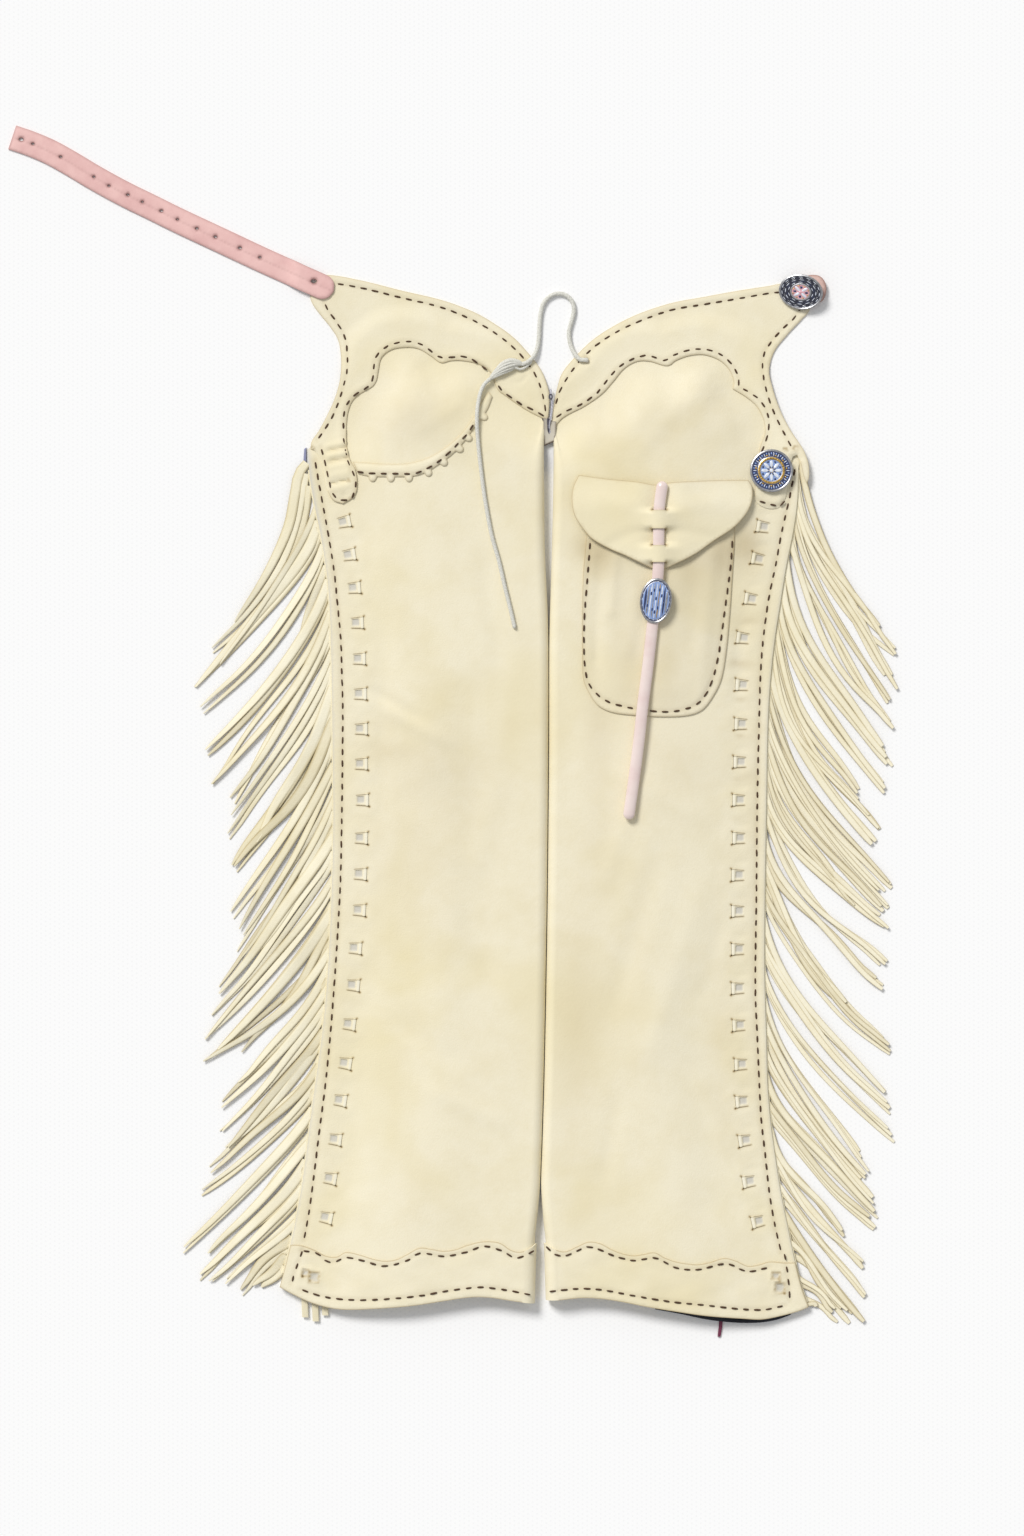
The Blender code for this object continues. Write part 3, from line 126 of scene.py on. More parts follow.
HEM_EDGE = {  # (x, y)
    "left": [
        (274, 1283), (280, 1286), (294, 1293.6), (309, 1300.5), (323.6, 1305), (337, 1307.4), (351, 1308),
        (372, 1307), (395, 1305.4), (418, 1303), (441, 1299.4), (470, 1295.3), (490, 1295.5),
        (510, 1298.5), (534, 1302),
    ],
    "right": [
        (545, 1298.5), (560, 1298), (580, 1296), (600, 1296.6), (623, 1300), (645, 1304.5), (679, 1310),
        (707, 1314), (743, 1317), (761, 1318), (779, 1315), (798, 1310), (810, 1305),
    ],
}
SCALLOP = {  # where each yoke ends on the leg, from the centre outward: (x, y)
    "left": [
        (548, 419.4), (545, 419.4), (524.5, 409), (504, 395), (497, 389), (491.8, 374.5), (479.6, 365),
        (463, 361), (451, 361), (441, 363), (430.6, 356), (418.4, 349), (406, 347.6), (391.8, 350),
        (381.6, 358), (378.6, 370), (376.5, 380.6), (372.4, 386.7), (359, 395), (352, 402), (348, 413),
        (346.5, 427.6),
    ],
    "right": [
        (552.5, 430), (563, 418), (585, 406), (602, 394), (613, 382), (624, 369), (637, 361.7),
        (650, 361.7), (667.4, 366), (676, 360.6), (689, 356), (704, 355), (719.5, 360.6), (729, 370),
        (733.6, 382), (732.5, 389), (745.5, 397), (756, 406), (763, 419), (764.5, 426),
    ],
}
YOKE_EDGE = {  # the rest of the yoke, from the scallop's end round the hip tab and the tip
    "left": [
        (347, 446), (351, 462), (355.5, 470), (357.5, 486), (354, 497), (343, 504), (333, 500), (327, 488),
        (322, 462), (316, 452), (310.5, 449), (312, 441.5), (319, 431), (326.5, 417), (334, 401),
        (339, 385), (341, 372), (341, 356), (338, 340), (330.6, 327.6), (320.4, 315), (312.5, 304),
        (310.5, 296), (318, 279), (326.5, 275), (361, 280.6), (402, 290.8), (443, 300.6), (473.5, 312),
        (494, 323.5), (514, 338), (530.6, 356), (541, 370), (547, 385), (549.4, 397),
    ],
    "right": [
        (764.5, 434), (760, 447), (756, 470), (755, 500), (762, 507), (774, 509), (783, 504), (788, 480),
        (792, 458), (797, 455), (800, 462), (803, 476), (806, 484), (808.5, 478), (808, 464), (804, 452),
        (800, 445), (790, 430), (780, 410.5), (772.6, 389), (769, 371), (774, 352), (787, 335), (802, 319),
        (809.5, 310), (808, 300), (800, 284), (780, 284), (769, 286), (737, 291), (704, 297), (672, 303),
        (641, 313), (617.6, 324), (594, 339), (576, 356), (562, 373.6), (557, 389), (554.3, 402),
        (552, 418),
    ],
}
SOFT_FOLDS = {  # ridges, or troughs below 0: x0, y0, x1, y1, width, height in mm
    "left": [
        (400, 400, 455, 440, 16, 1.6), (380, 560, 430, 760, 22, 1.2), (470, 700, 480, 960, 26, -1.2),
        (360, 980, 345, 1180, 18, -1.1), (440, 1000, 450, 1200, 26, 1.2),
    ],
    "right": [
        (590, 455, 625, 400, 16, -1.8), (700, 400, 745, 440, 18, 1.4), (745, 560, 738, 780, 16, -1.0),
        (640, 800, 650, 1040, 26, 1.3), (700, 1000, 712, 1200, 22, -1.2),
    ],
}
CREASES = {  # finer ones, the same way
    "left": [
        (372, 700, 462, 752, 8, 1.3), (360, 682, 432, 728, 6, -1.1), (385, 1010, 470, 1075, 12, -1.0),
        (410, 1080, 520, 1130, 10, 0.9), (480, 540, 505, 690, 11, -1.0), (395, 800, 480, 880, 12, 0.8),
        (455, 900, 505, 1000, 11, -0.9), (386, 560, 380, 880, 11, -0.7), (500, 760, 470, 900, 12, 0.7),
        (400, 385, 450, 350, 8, -0.5), (405, 440, 470, 400, 8, 0.5),
    ],
    "right": [
        (588, 580, 600, 700, 8, -0.9), (742, 600, 735, 720, 8, -0.9), (595, 760, 720, 830, 12, 0.9),
        (668, 820, 604, 1040, 13, -1.2), (640, 780, 598, 900, 10, 0.8), (712, 850, 640, 1080, 13, 0.9),
        (725, 900, 700, 1010, 10, -0.7), (690, 1060, 735, 1160, 10, 0.9), (620, 1080, 600, 1200, 10, -0.8),
        (610, 380, 600, 440, 7, -0.6), (625, 470, 700, 380, 9, 0.6), (730, 400, 745, 450, 8, -0.5),
    ],
}
SHADES = {  # soft painted shade in the leather's hollows, folds and puckers, painted shadow under the flap's corners, and painted light where the strength is below 0: x, y, reach across, reach down, strength
    "left": [
        (400, 405, 75, 50, 0.1), (430, 775, 60, 45, 0.08), (388, 722, 30, 12, 0.07),
        (420, 420, 50, 22, 0.08), (450, 760, 60, 110, 0.07), (335, 700, 12, 200, 0.06),
        (404, 862, 38, 60, 0.1), (394, 752, 30, 12, 0.14), (366, 1130, 22, 110, -0.14),
        (480, 640, 40, 90, -0.08),
    ],
    "right": [
        (749, 621, 12, 4, 0.2), (741, 664, 11, 4.5, 0.32), (733, 662, 5, 4, 0.14),
        (740, 699.5, 6, 3, 0.32), (739.5, 736, 4.5, 2.4, 0.36), (747, 776, 9, 5, 0.12),
        (737, 779, 5, 2.6, 0.16), (736, 818, 6, 3, 0.14), (745, 900, 9, 5, 0.1), (670, 415, 90, 50, 0.1),
        (602, 440, 20, 40, 0.1), (640, 930, 22, 60, 0.07), (599, 690, 15, 90, 0.2),
        (594, 548, 20, 14, 0.55), (744, 545, 18, 22, 0.45), (600, 850, 20, 60, 0.08),
        (640, 1010, 60, 80, 0.06), (576, 1030, 24, 120, 0.15), (684, 770, 40, 30, 0.09),
        (752, 800, 10, 260, 0.1), (722, 1060, 14, 150, 0.08), (672, 1000, 26, 130, -0.12),
        (690, 1180, 40, 50, -0.1),
    ],
}
SLOTS = {  # middles of the square lace slots beside the outer seams
    "left": [
        (345, 522), (350, 555), (355, 588), (358, 623), (360, 659), (361, 694), (362, 729), (362, 764),
        (363, 800), (362, 838), (361, 874), (360, 910), (356, 948), (354, 985), (350, 1024), (346, 1063),
        (341, 1100), (336, 1139), (331, 1178), (327, 1217),
    ],
    "right": [
        (762, 527), (757, 559), (750, 599), (742, 638), (741, 685), (740, 724), (739, 762), (738, 800),
        (738, 838), (737, 875), (737, 911), (737, 949), (737, 988), (738, 1025), (740, 1064), (741, 1101),
        (744, 1140), (748, 1181), (757, 1221),
    ],
}
WAVE = {  # wavy top edge of the hem bands: (x, y)
    "left": [
        (270, 1246), (299, 1244.5), (314, 1249), (326, 1255), (337, 1256), (346, 1251.2), (361.5, 1254),
        (373, 1257.5), (385, 1259.5), (396.5, 1258), (408, 1252.5), (419.5, 1246.5), (431.5, 1247.5),
        (443.6, 1249.5), (455.6, 1248), (468, 1243.5), (484, 1240), (500, 1241.5), (511, 1248.5),
        (520, 1250.5), (529, 1247), (539, 1238),
    ],
    "right": [
        (541, 1236), (547, 1243), (555, 1248), (565, 1250), (575, 1246), (588, 1240.5), (600, 1242),
        (611.6, 1248), (622, 1252), (633, 1254), (644, 1252.5), (654.5, 1251), (664, 1256), (675, 1260),
        (686, 1262), (697, 1263), (709, 1261), (724, 1257), (736, 1260), (747, 1265), (758, 1264),
        (769, 1261), (784, 1262), (820, 1262),
    ],
}

POCKET_OUTLINE = [
    (587, 505), (586, 539.5), (583, 574), (582, 612), (582, 650), (583, 679), (589, 694), (598, 706),
    (612, 712.6), (635, 715.5), (663.5, 717), (688, 715.5), (702, 710), (713, 696), (721, 679), (726, 650),
    (729.5, 612), (732, 574), (734, 539.5), (734, 505),
]
FLAP_OUTLINE = [
    (578.5, 476), (607, 480), (636.5, 483), (655, 486), (668, 484), (700, 482), (728, 481), (748, 481),
    (751.5, 488), (751, 502), (745, 515), (732, 529), (713, 541.6), (694, 555), (668, 568), (659.5, 570.7),
    (649, 568), (636.5, 562), (624, 556), (611, 550.6), (592, 540), (582, 529), (574, 516), (571.5, 501),
    (573, 488),
]
FLAP_SLITS = (511, 530, 546, 563.5)  # the thong is under the leather between 1-2 and 3-4
THONG_ROUTE = [
    (661.4, 488), (659.6, 500), (658.5, 511), (658, 538), (658, 563), (657.4, 573), (655.4, 595),
    (652, 625), (647.5, 665), (642, 708), (638.5, 740), (634, 775), (628.5, 814),
]
WELT_TOP = [
    (353, 462.4), (364, 463), (381.6, 464.5), (406, 464.5), (426.5, 459.5), (443, 450.5), (459, 437.5),
    (473.5, 418.5), (481, 404), (489, 392),
]
WELT_BOTTOM = [
    (492.5, 397), (487.5, 410), (476, 426.5), (458, 450), (441, 464), (426.5, 473), (414, 477),
    (392, 477.5), (371, 477), (358.6, 474.6),
]
WELT_TABS = [  # middles of the small round tabs at its stitches
    (486, 419), (470, 440), (459, 449), (444, 463), (428, 472.5), (409, 477), (391, 478), (373, 477),
]
WELT_TAB_RADIUS = 4.0
WELT_TAB_REACH = 5.2
STRAP_MIDDLE = [
    (12.4, 137.5), (30, 143.5), (50, 152), (70, 163), (90, 175), (110, 186.3), (130, 196.8), (150, 206.5),
    (180, 221.3), (220, 240), (260, 258.8), (290, 272.4), (302, 278), (314, 283.3), (323, 287.3),
    (330, 290.3), (333.6, 291.8),
]
STRAP_HOLES = [  # x, y, radius in mm
    (21.4, 139.6, 1.7), (33, 144, 1.1), (60.8, 157, 1.1), (94, 177, 1.0), (109, 186, 1.0), (128, 195, 1.2),
    (142.5, 202, 1.0), (161.5, 211, 1.3), (177.6, 219.5, 1.0), (197, 228.6, 1.2), (215.6, 237, 1.3),
    (240, 248, 1.3), (260, 257.5, 1.1), (314, 281.6, 2.2),
]
LACE_ROUTE = [
    (586.4, 360.4), (579.5, 359.6), (573.7, 352.5), (570, 343), (569, 332), (572, 320), (574, 310),
    (572, 301.5), (566, 295.6), (558.5, 293.8), (550, 296.6), (544, 303), (541, 312), (539.6, 325),
    (539, 337), (537.4, 348), (533.5, 357), (527.5, 362.5), (523, 364.5),
]
LACE_TAIL = [
    (489.5, 380), (484, 385.5), (480, 395), (477.6, 409), (477, 423.5), (478, 441), (479.3, 455),
    (481, 470), (485, 500), (491.5, 535), (499, 562), (505, 588), (510, 608), (514.4, 627),
]
# Fringe strands in the order of their roots: how many, where they end (x, y), and the bow, which
# is how long each keeps to the seam before it turns out, as a part of its length
LOCKS = {
    "left": [
        (1, 235, 622, 0.3), (2, 212, 648, 0.28), (1, 222, 664, 0.3), (2, 196, 690, 0.3),
        (2, 203, 710, 0.32), (1, 288, 668, 0.55), (2, 208, 752, 0.32), (2, 214, 787, 0.34),
        (2, 232, 800, 0.36), (1, 233, 815, 0.36), (2, 230, 836, 0.34), (1, 256, 842, 0.45),
        (3, 236, 872, 0.38), (2, 233, 915, 0.34), (2, 241, 932, 0.36), (2, 240, 955, 0.36),
        (1, 238, 975, 0.36), (2, 220, 990, 0.32), (2, 211, 1012, 0.3), (2, 203, 1036, 0.28),
        (2, 218, 1046, 0.3), (1, 240, 1052, 0.38), (2, 206, 1064, 0.28), (1, 238, 1082, 0.38),
        (2, 222, 1104, 0.32), (2, 222, 1134, 0.32), (2, 228, 1150, 0.32), (2, 211, 1169, 0.28),
        (2, 201, 1192, 0.28), (2, 184, 1250, 0.25), (2, 208, 1250, 0.28), (2, 201, 1277, 0.22),
        (2, 212, 1284, 0.2), (2, 226, 1281, 0.06), (2, 243, 1293, 0.04), (1, 252, 1285, 0.02),
        (1, 260, 1287, 0.02),
    ],
    "right": [
        (1, 879, 626, 0.26), (2, 895, 649, 0.26), (2, 894, 683, 0.28), (2, 892, 706, 0.3),
        (1, 886, 716, 0.31), (2, 891, 728, 0.32), (2, 882, 746, 0.33), (2, 889, 760, 0.32),
        (2, 883, 788, 0.34), (2, 860, 796, 0.42), (2, 877, 823, 0.36), (2, 876, 847, 0.36),
        (2, 890, 882, 0.34), (2, 885, 898, 0.34), (2, 888, 914, 0.34), (2, 855, 905, 0.46),
        (2, 888, 928, 0.34), (2, 887, 967, 0.34), (2, 884, 992, 0.34), (2, 847, 1005, 0.46),
        (3, 888, 1048, 0.34), (2, 882, 1086, 0.34), (2, 888, 1108, 0.32), (2, 891, 1135, 0.32),
        (2, 868, 1165, 0.34), (2, 867, 1181, 0.3), (2, 871, 1197, 0.28), (2, 877, 1216, 0.26),
        (2, 878, 1230, 0.24), (2, 842, 1236, 0.1), (2, 864, 1268, 0.22), (2, 868, 1300, 0.08),
        (2, 860, 1315, 0.1), (2, 848, 1316, 0.01), (2, 835, 1315, 0.02), (1, 825, 1314, 0.02),
    ],
}
TUCKED_STRANDS = [  # ends that hang out under the left hem: root y, turn x, tip x, tip y
    (1236, 323, 325.5, 1315), (1248, 313, 316, 1321), (1260, 303.5, 305.5, 1317),
]

# Where the running stitches lie: (x, y) along each line
SEAM_STITCHES = {
    "left": [
        (315, 460), (321, 494), (328, 532), (334.5, 573), (338, 608), (341, 640), (342, 674), (343, 712),
        (341, 868), (338, 930), (334, 990), (330, 1040), (325, 1089), (320, 1127), (314, 1176),
        (309, 1213), (304, 1240),
    ],
    "right": [
        (795, 467), (790.5, 492), (786, 512), (781, 534), (775, 567), (770, 590), (766, 614), (762, 648),
        (760, 679), (759, 712), (757, 800), (756, 900), (755, 990), (757, 1037), (759, 1084), (761, 1120),
        (765, 1155), (769, 1192), (775, 1227), (781, 1252),
    ],
}
YOKE_STITCHES = {
    "left": [
        [  # belt edge
            (335, 283.5), (361, 288), (402, 298), (441, 307.5), (470, 319), (490, 330), (509, 344),
            (524, 359), (534, 373), (540, 386), (543.5, 399), (546, 414),
        ],
        [  # side
            (324, 302), (328.5, 311), (337.5, 323.5), (345, 338), (347.5, 356), (347, 372), (344, 385),
            (339.5, 400), (332.5, 417), (324, 431), (317, 441),
        ],
        [  # hip tab
            (321, 447), (325, 462), (330, 484), (333, 494), (341, 500.5), (352, 499), (356, 488),
            (354.5, 476), (349, 464), (345, 447), (343.5, 436),
        ],
        [  # scallops
            (343.5, 432), (344, 415), (347.5, 404), (354, 396), (366, 388.5), (372, 382), (373.5, 370),
            (377, 356), (386, 347.5), (398, 343), (411, 342), (424, 346), (433, 353), (442, 358),
            (455, 357.2), (467, 357.5), (477, 363), (489, 372),
        ],
        [  # inner end
            (497, 383), (501, 390), (510, 397), (522, 405), (536, 411.5), (546, 418),
        ],
    ],
    "right": [
        [  # belt edge
            (795, 291), (769, 293.5), (737, 299), (704, 304.5), (672, 310), (643, 320), (619, 331),
            (597, 345), (580, 361), (568, 377), (560, 391), (555, 407),
        ],
        [  # side
            (803, 303), (795, 317), (780, 331.5), (767, 348), (763, 358), (762.5, 371), (766, 390),
            (773, 411), (783, 432), (792, 449),
        ],
        [  # scallops
            (554, 419), (565, 412), (582, 404), (598, 392), (609, 378), (620, 366.5), (636, 358),
            (648, 356), (665, 360.5), (675, 355), (689, 350.5), (704, 349.6), (719, 354), (731, 364),
            (738, 377), (738.5, 387), (748, 392), (759, 400), (767, 413), (768.5, 428), (765, 443),
            (760, 455),
        ],
        [  # hip tab
            (757, 501), (765, 503.5), (779, 507), (786, 500),
        ],
    ],
}
HEM_STITCHES = {
    "left": [
        [  # wave
            (301, 1249.5), (318, 1253), (331, 1261.5), (346, 1256.5), (362, 1259), (385, 1264.3),
            (408, 1258.5), (420, 1251.5), (444, 1254.5), (468, 1250), (484, 1244.6), (503, 1249.5),
            (515, 1256), (528, 1252.5), (536, 1247),
        ],
        [  # hem
            (300, 1288), (316, 1293.5), (333, 1297), (357, 1298.5), (386, 1297.3), (420, 1294),
            (446, 1289.3), (469, 1286.3), (481, 1285.4), (505, 1288), (533, 1293.5),
        ],
        [  # seam end
            (303.5, 1247), (300, 1258), (295.5, 1270), (291.5, 1284),
        ],
    ],
    "right": [
        [  # wave
            (544, 1243), (556, 1253), (566, 1253.8), (589, 1245.4), (612, 1253.5), (633, 1258.8),
            (655, 1256.4), (675, 1265.8), (697, 1268), (726, 1262.5), (747, 1270.3), (769, 1266.3),
        ],
        [  # hem
            (547, 1290), (577, 1287), (601, 1288), (635, 1294.2), (670, 1299.8), (705, 1303.5),
            (741, 1307.7), (764, 1308.5), (785, 1304.3),
        ],
        [  # seam end
            (783.5, 1250), (786, 1265), (788, 1281), (789.5, 1300),
        ],
    ],
}
POCKET_STITCHES = [
    (590, 541), (587, 580), (584, 620), (584, 660), (587, 680), (592, 689), (604, 700), (625, 707),
    (655, 711.5), (677, 711), (698, 703), (710, 685), (718, 655), (724, 612), (730, 567), (732, 539),
]
WELT_STITCHES = [
    (355, 472), (371, 474), (392, 474.5), (414, 474.5), (426.5, 470), (441, 461), (456, 447), (469, 433),
    (474.5, 423.5),
]


def place(x, y, z):
    """Model points for layout points and heights in millimetres."""
    return np.stack([(np.asarray(x, float) - LAYOUT_CENTRE[0]) * LAYOUT_STEP,
                     (LAYOUT_CENTRE[1] - np.asarray(y, float)) * LAYOUT_STEP,
                     np.asarray(z, float) * MM], axis=-1)


def steps(millimetres):
    return millimetres * MM / LAYOUT_STEP


def ease(u):
    u = np.clip(u, 0.0, 1.0)
    return u * u * (3 - 2 * u)


def bump(away, width):
    return np.exp(-(away / width) ** 2)


def spots_at(x, y, rows):
    """Sum of soft round spots: x, y, reach across, reach down, strength."""
    return sum(strength * np.exp(-((x - cx) / across) ** 2 - ((y - cy) / down) ** 2)
               for cx, cy, across, down, strength in rows)


def ridges_at(x, y, rows):
    """Sum of soft ridges, or troughs below 0: x0, y0, x1, y1, width, height."""
    return sum(size * bump(distance(x, y, [(x0, y0), (x1, y1)]), width)
               for x0, y0, x1, y1, width, size in rows)


def lines_at(x, y, lines, width):
    return sum(bump(distance(x, y, line), width) for line in lines)


def pairs(x, y):
    return list(zip(np.asarray(x).tolist(), np.asarray(y).tolist()))


def graph(table, t):
    """Values at t on a smooth curve through rows of (t, value)."""
    ts = np.array([row[0] for row in table], float)
    vs = np.array([row[1] for row in table], float)
    t = np.clip(np.asarray(t, float), ts[0], ts[-1])
    slopes = np.gradient(vs)
    slopes[1:-1] = (vs[2:] - vs[:-2]) / (ts[2:] - ts[:-2])
    slopes[0] = (vs[1] - vs[0]) / (ts[1] - ts[0])
    slopes[-1] = (vs[-1] - vs[-2]) / (ts[-1] - ts[-2])
    i = np.clip(np.searchsorted(ts, t, side="left") - 1, 0, len(ts) - 2)
    span = ts[i + 1] - ts[i]
    u = (t - ts[i]) / span
    across = vs[i] + (vs[i + 1] - vs[i]) * u * u * (3 - 2 * u)
    return across + slopes[i] * span * u * (1 - u) ** 2 + slopes[i + 1] * span * u * u * (u - 1)


def distance(x, y, line, closed=False):
    """Distance from points to a polyline."""
    x = np.asarray(x, float)
    y = np.asarray(y, float)
    best = np.full(x.shape, 1e9)
    ends = line[1:] + line[:1] if closed else line[1:]
    for (x0, y0), (x1, y1) in zip(line, ends):
        dx = x1 - x0
        dy = y1 - y0
        along = np.clip(((x - x0) * dx + (y - y0) * dy) / (dx * dx + dy * dy + 1e-12), 0, 1)
        best = np.minimum(best, np.hypot(x - x0 - along * dx, y - y0 - along * dy))
    return best


def inside(outline, x, y):
    odd = np.zeros(np.shape(x), bool)
    for k, (x0, y0) in enumerate(outline):
        x1, y1 = outline[k - 1]
        if y0 != y1:
            crosses = ((y0 > y) != (y1 > y)) & (x < (x1 - x0) * (y - y0) / (y1 - y0) + x0)
            odd ^= crosses
    return odd


def smooth_line(points, spacing, closed=False, corner=52.0):
    """Points along a smooth curve through the given ones; a turn sharper than corner stays one."""
    pts = [np.array(point, float) for point in points]
    count = len(pts)
    dims = len(pts[0])

    def direction(k, k0, k1):
        if not closed and (k0 < 0 or k1 >= count):
            return None
        before = pts[k] - pts[k0]
        after = pts[k1 % count] - pts[k]
        cosine = before.dot(after) / (np.linalg.norm(before) * np.linalg.norm(after) + 1e-12)
        if cosine < math.cos(math.radians(corner)):
            return None
        both = pts[k1 % count] - pts[k0]
        return both / (np.linalg.norm(both) + 1e-12)

    line = []
    for k in range(count if closed else count - 1):
        a = pts[k]
        b = pts[(k + 1) % count]
        reach = np.linalg.norm(b - a)
        straight = (b - a) / (reach + 1e-12)
        start = direction(k, k - 1, k + 1)
        end = direction((k + 1) % count, k, k + 2)
        start = straight if start is None else start
        end = straight if end is None else end
        parts = max(1, round(reach / spacing))
        for j in range(parts):
            u = j / parts
            mix = u * u * (3 - 2 * u)
            point = a + (b - a) * mix + start * reach * u * (1 - u) ** 2
            line.append(tuple(point + end * reach * u * u * (u - 1)))
    if not closed:
        line.append(tuple(pts[-1]))
    return [tuple(float(v) for v in point[:dims]) for point in line]


def even_points(line, pitch):
    """Points every pitch along a line, with their directions."""
    pts = np.array(line)
    runs = np.linalg.norm(np.diff(pts, axis=0), axis=1)
    far = np.concatenate([[0], np.cumsum(runs)])
    count = max(1, round(far[-1] / pitch))
    at = (np.arange(count) + 0.5) * far[-1] / count
    spots = np.stack([np.interp(at, far, pts[:, k]) for k in range(pts.shape[1])], axis=1)
    ahead = np.stack([np.interp(at + 0.5, far, pts[:, k]) - np.interp(at - 0.5, far, pts[:, k])
                      for k in range(pts.shape[1])], axis=1)
    return spots, ahead / np.linalg.norm(ahead, axis=1)[:, None]


def headings(line):
    """Unit directions along an open line, one a point."""
    found = []
    for k in range(len(line)):
        x0, y0 = line[max(k - 1, 0)]
        x1, y1 = line[min(k + 1, len(line) - 1)]
        length = math.hypot(x1 - x0, y1 - y0)
        found.append(((x1 - x0) / length, (y1 - y0) / length))
    return found


def moved(line, amounts):
    """An open line moved sideways, to the left of its direction as it is drawn."""
    return [(x + dy * amount, y - dx * amount)
            for (x, y), (dx, dy), amount in zip(line, headings(line), amounts)]


ROW_SHARE = 0.87    # height of a row of the filling's triangles, as a share of their side


def fill(outline, holes=(), spacing=3.0, dense=(), edge=1.2):
    """Triangles over an outline with its holes left out, facing up: layout points, faces, and the
    place of each outline point among them."""
    loops = [list(outline)] + [list(hole) for hole in holes]
    points = []
    edges = []
    for loop in loops:
        first = len(points)
        points += loop
        edges += [(first + k, first + (k + 1) % len(loop)) for k in range(len(loop))]
    low = np.min(outline, axis=0)
    high = np.max(outline, axis=0)
    gx, gy = np.meshgrid(np.arange(low[0], high[0], spacing),
                         np.arange(low[1], high[1], spacing * ROW_SHARE))
    gx = gx + (np.arange(gx.shape[0]) % 2)[:, None] * spacing / 2
    free = [np.stack([gx.ravel(), gy.ravel()], axis=1)]
    if len(dense):
        free.append(np.array(dense, float))
    ring = []
    for loop in loops:
        for k, (x, y) in enumerate(loop):
            x0, y0 = loop[k - 1]
            x1, y1 = loop[(k + 1) % len(loop)]
            length = math.hypot(x1 - x0, y1 - y0) + 1e-9
            for turn in (-1, 1):
                ring.append((x + (y1 - y0) / length * edge * turn, y - (x1 - x0) / length * edge * turn))
    ring = np.array(ring)
    kept = []
    for cloud, gap in [(ring, edge * 0.93)] + [(cloud, edge * 1.8) for cloud in free]:
        good = inside(outline, cloud[:, 0], cloud[:, 1])
        for hole in holes:
            good &= ~inside(hole, cloud[:, 0], cloud[:, 1])
        cloud = cloud[good]
        near = np.full(len(cloud), 1e9)
        for loop in loops:
            near = np.minimum(near, distance(cloud[:, 0], cloud[:, 1], loop, True))
        kept.append(cloud[near > gap])
    points += [tuple(point) for cloud in kept for point in cloud]
    found = geometry.delaunay_2d_cdt([Vector(point) for point in points], edges, [], 0, 1e-6)
    verts = np.array([tuple(vert) for vert in found[0]])
    faces = np.array([face for face in found[2] if len(face) == 3])
    middle = verts[faces].mean(axis=1)
    good = inside(outline, middle[:, 0], middle[:, 1])
    for hole in holes:
        good &= ~inside(hole, middle[:, 0], middle[:, 1])
    faces = faces[good]
    a, b, c = (verts[faces[:, k]] for k in range(3))
    cross = (b[:, 0] - a[:, 0]) * (c[:, 1] - a[:, 1]) - (b[:, 1] - a[:, 1]) * (c[:, 0] - a[:, 0])
    wrong = cross > 0
    faces[wrong] = faces[wrong][:, ::-1]
    where = {}
    for now, before in enumerate(found[3]):
        for old in before:
            where[old] = now
    return verts, faces, [where[k] for k in range(len(outline))]


def add_piece(name, verts, faces, material, tones=None, sharp=35.0, shade_greys=None):
    mesh = bpy.data.meshes.new(name)
    mesh.from_pydata([tuple(vert) for vert in verts], [], [tuple(int(v) for v in face) for face in faces])
    mesh.validate()
    mesh.shade_smooth()
    if sharp:
        mesh.set_sharp_from_angle(angle=math.radians(sharp))
    for key, values in (("tone", tones), ("pale", shade_greys)):
        if values is not None:
            layer = mesh.attributes.new(key, "FLOAT", "POINT")
            layer.data.foreach_set("value", np.asarray(values, np.float32))
    obj = bpy.data.objects.new(name, mesh)
    bpy.context.scene.collection.objects.link(obj)
    mesh.materials.append(material)
    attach(obj, "root")
    return obj


def stand_in(obj, node):
    """The piece takes its solid's place, which is hidden."""
    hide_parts(node)
    return obj


def wall(name, outer, inner, faces, material, tones, shade_greys=None):
    """A closed leather piece from its outer face and, point for point, its inner one."""
    count = len(outer)
    edges = set()
    for face in faces:
        for k in range(len(face)):
            edges.add((int(face[k]), int(face[(k + 1) % len(face)])))
    whole = [tuple(face) for face in faces]
    whole += [tuple(int(v) + count for v in reversed(face)) for face in faces]
    for a, b in sorted(edges):
        if (b, a) not in edges:
            whole.append((b, a, a + count, b + count))
    if shade_greys is not None:
        shade_greys = np.concatenate([shade_greys, shade_greys])
    return add_piece(name, np.concatenate([outer, inner]), whole, material,
                     np.concatenate([tones, tones]), shade_greys=shade_greys)


def panel(name, outline, low, thick, material, holes=(), spacing=3.0, dense=(), relief=None,
          tone=None, drop=0.5, edge=1.2, edge_tone=0.6):
    """A flat leather piece: low gives its underside's height, relief what its top adds."""
    verts, faces, _ = fill(outline, holes, spacing, dense, edge)
    x, y = verts[:, 0], verts[:, 1]
    rim = distance(x, y, list(outline), True)
    for hole in holes:
        rim = np.minimum(rim, distance(x, y, list(hole), True))
    under = low(x, y)
    top = under + thick - drop * np.clip(1 - rim / edge, 0, 1) ** 2
    if relief is not None:
        top = top + relief(x, y, rim)
    tones = bump(rim, 1.0) * edge_tone
    if tone is not None:
        tones = tones + tone(x, y, rim)
    return wall(name, place(x, y, top), place(x, y, under), faces, material, tones)


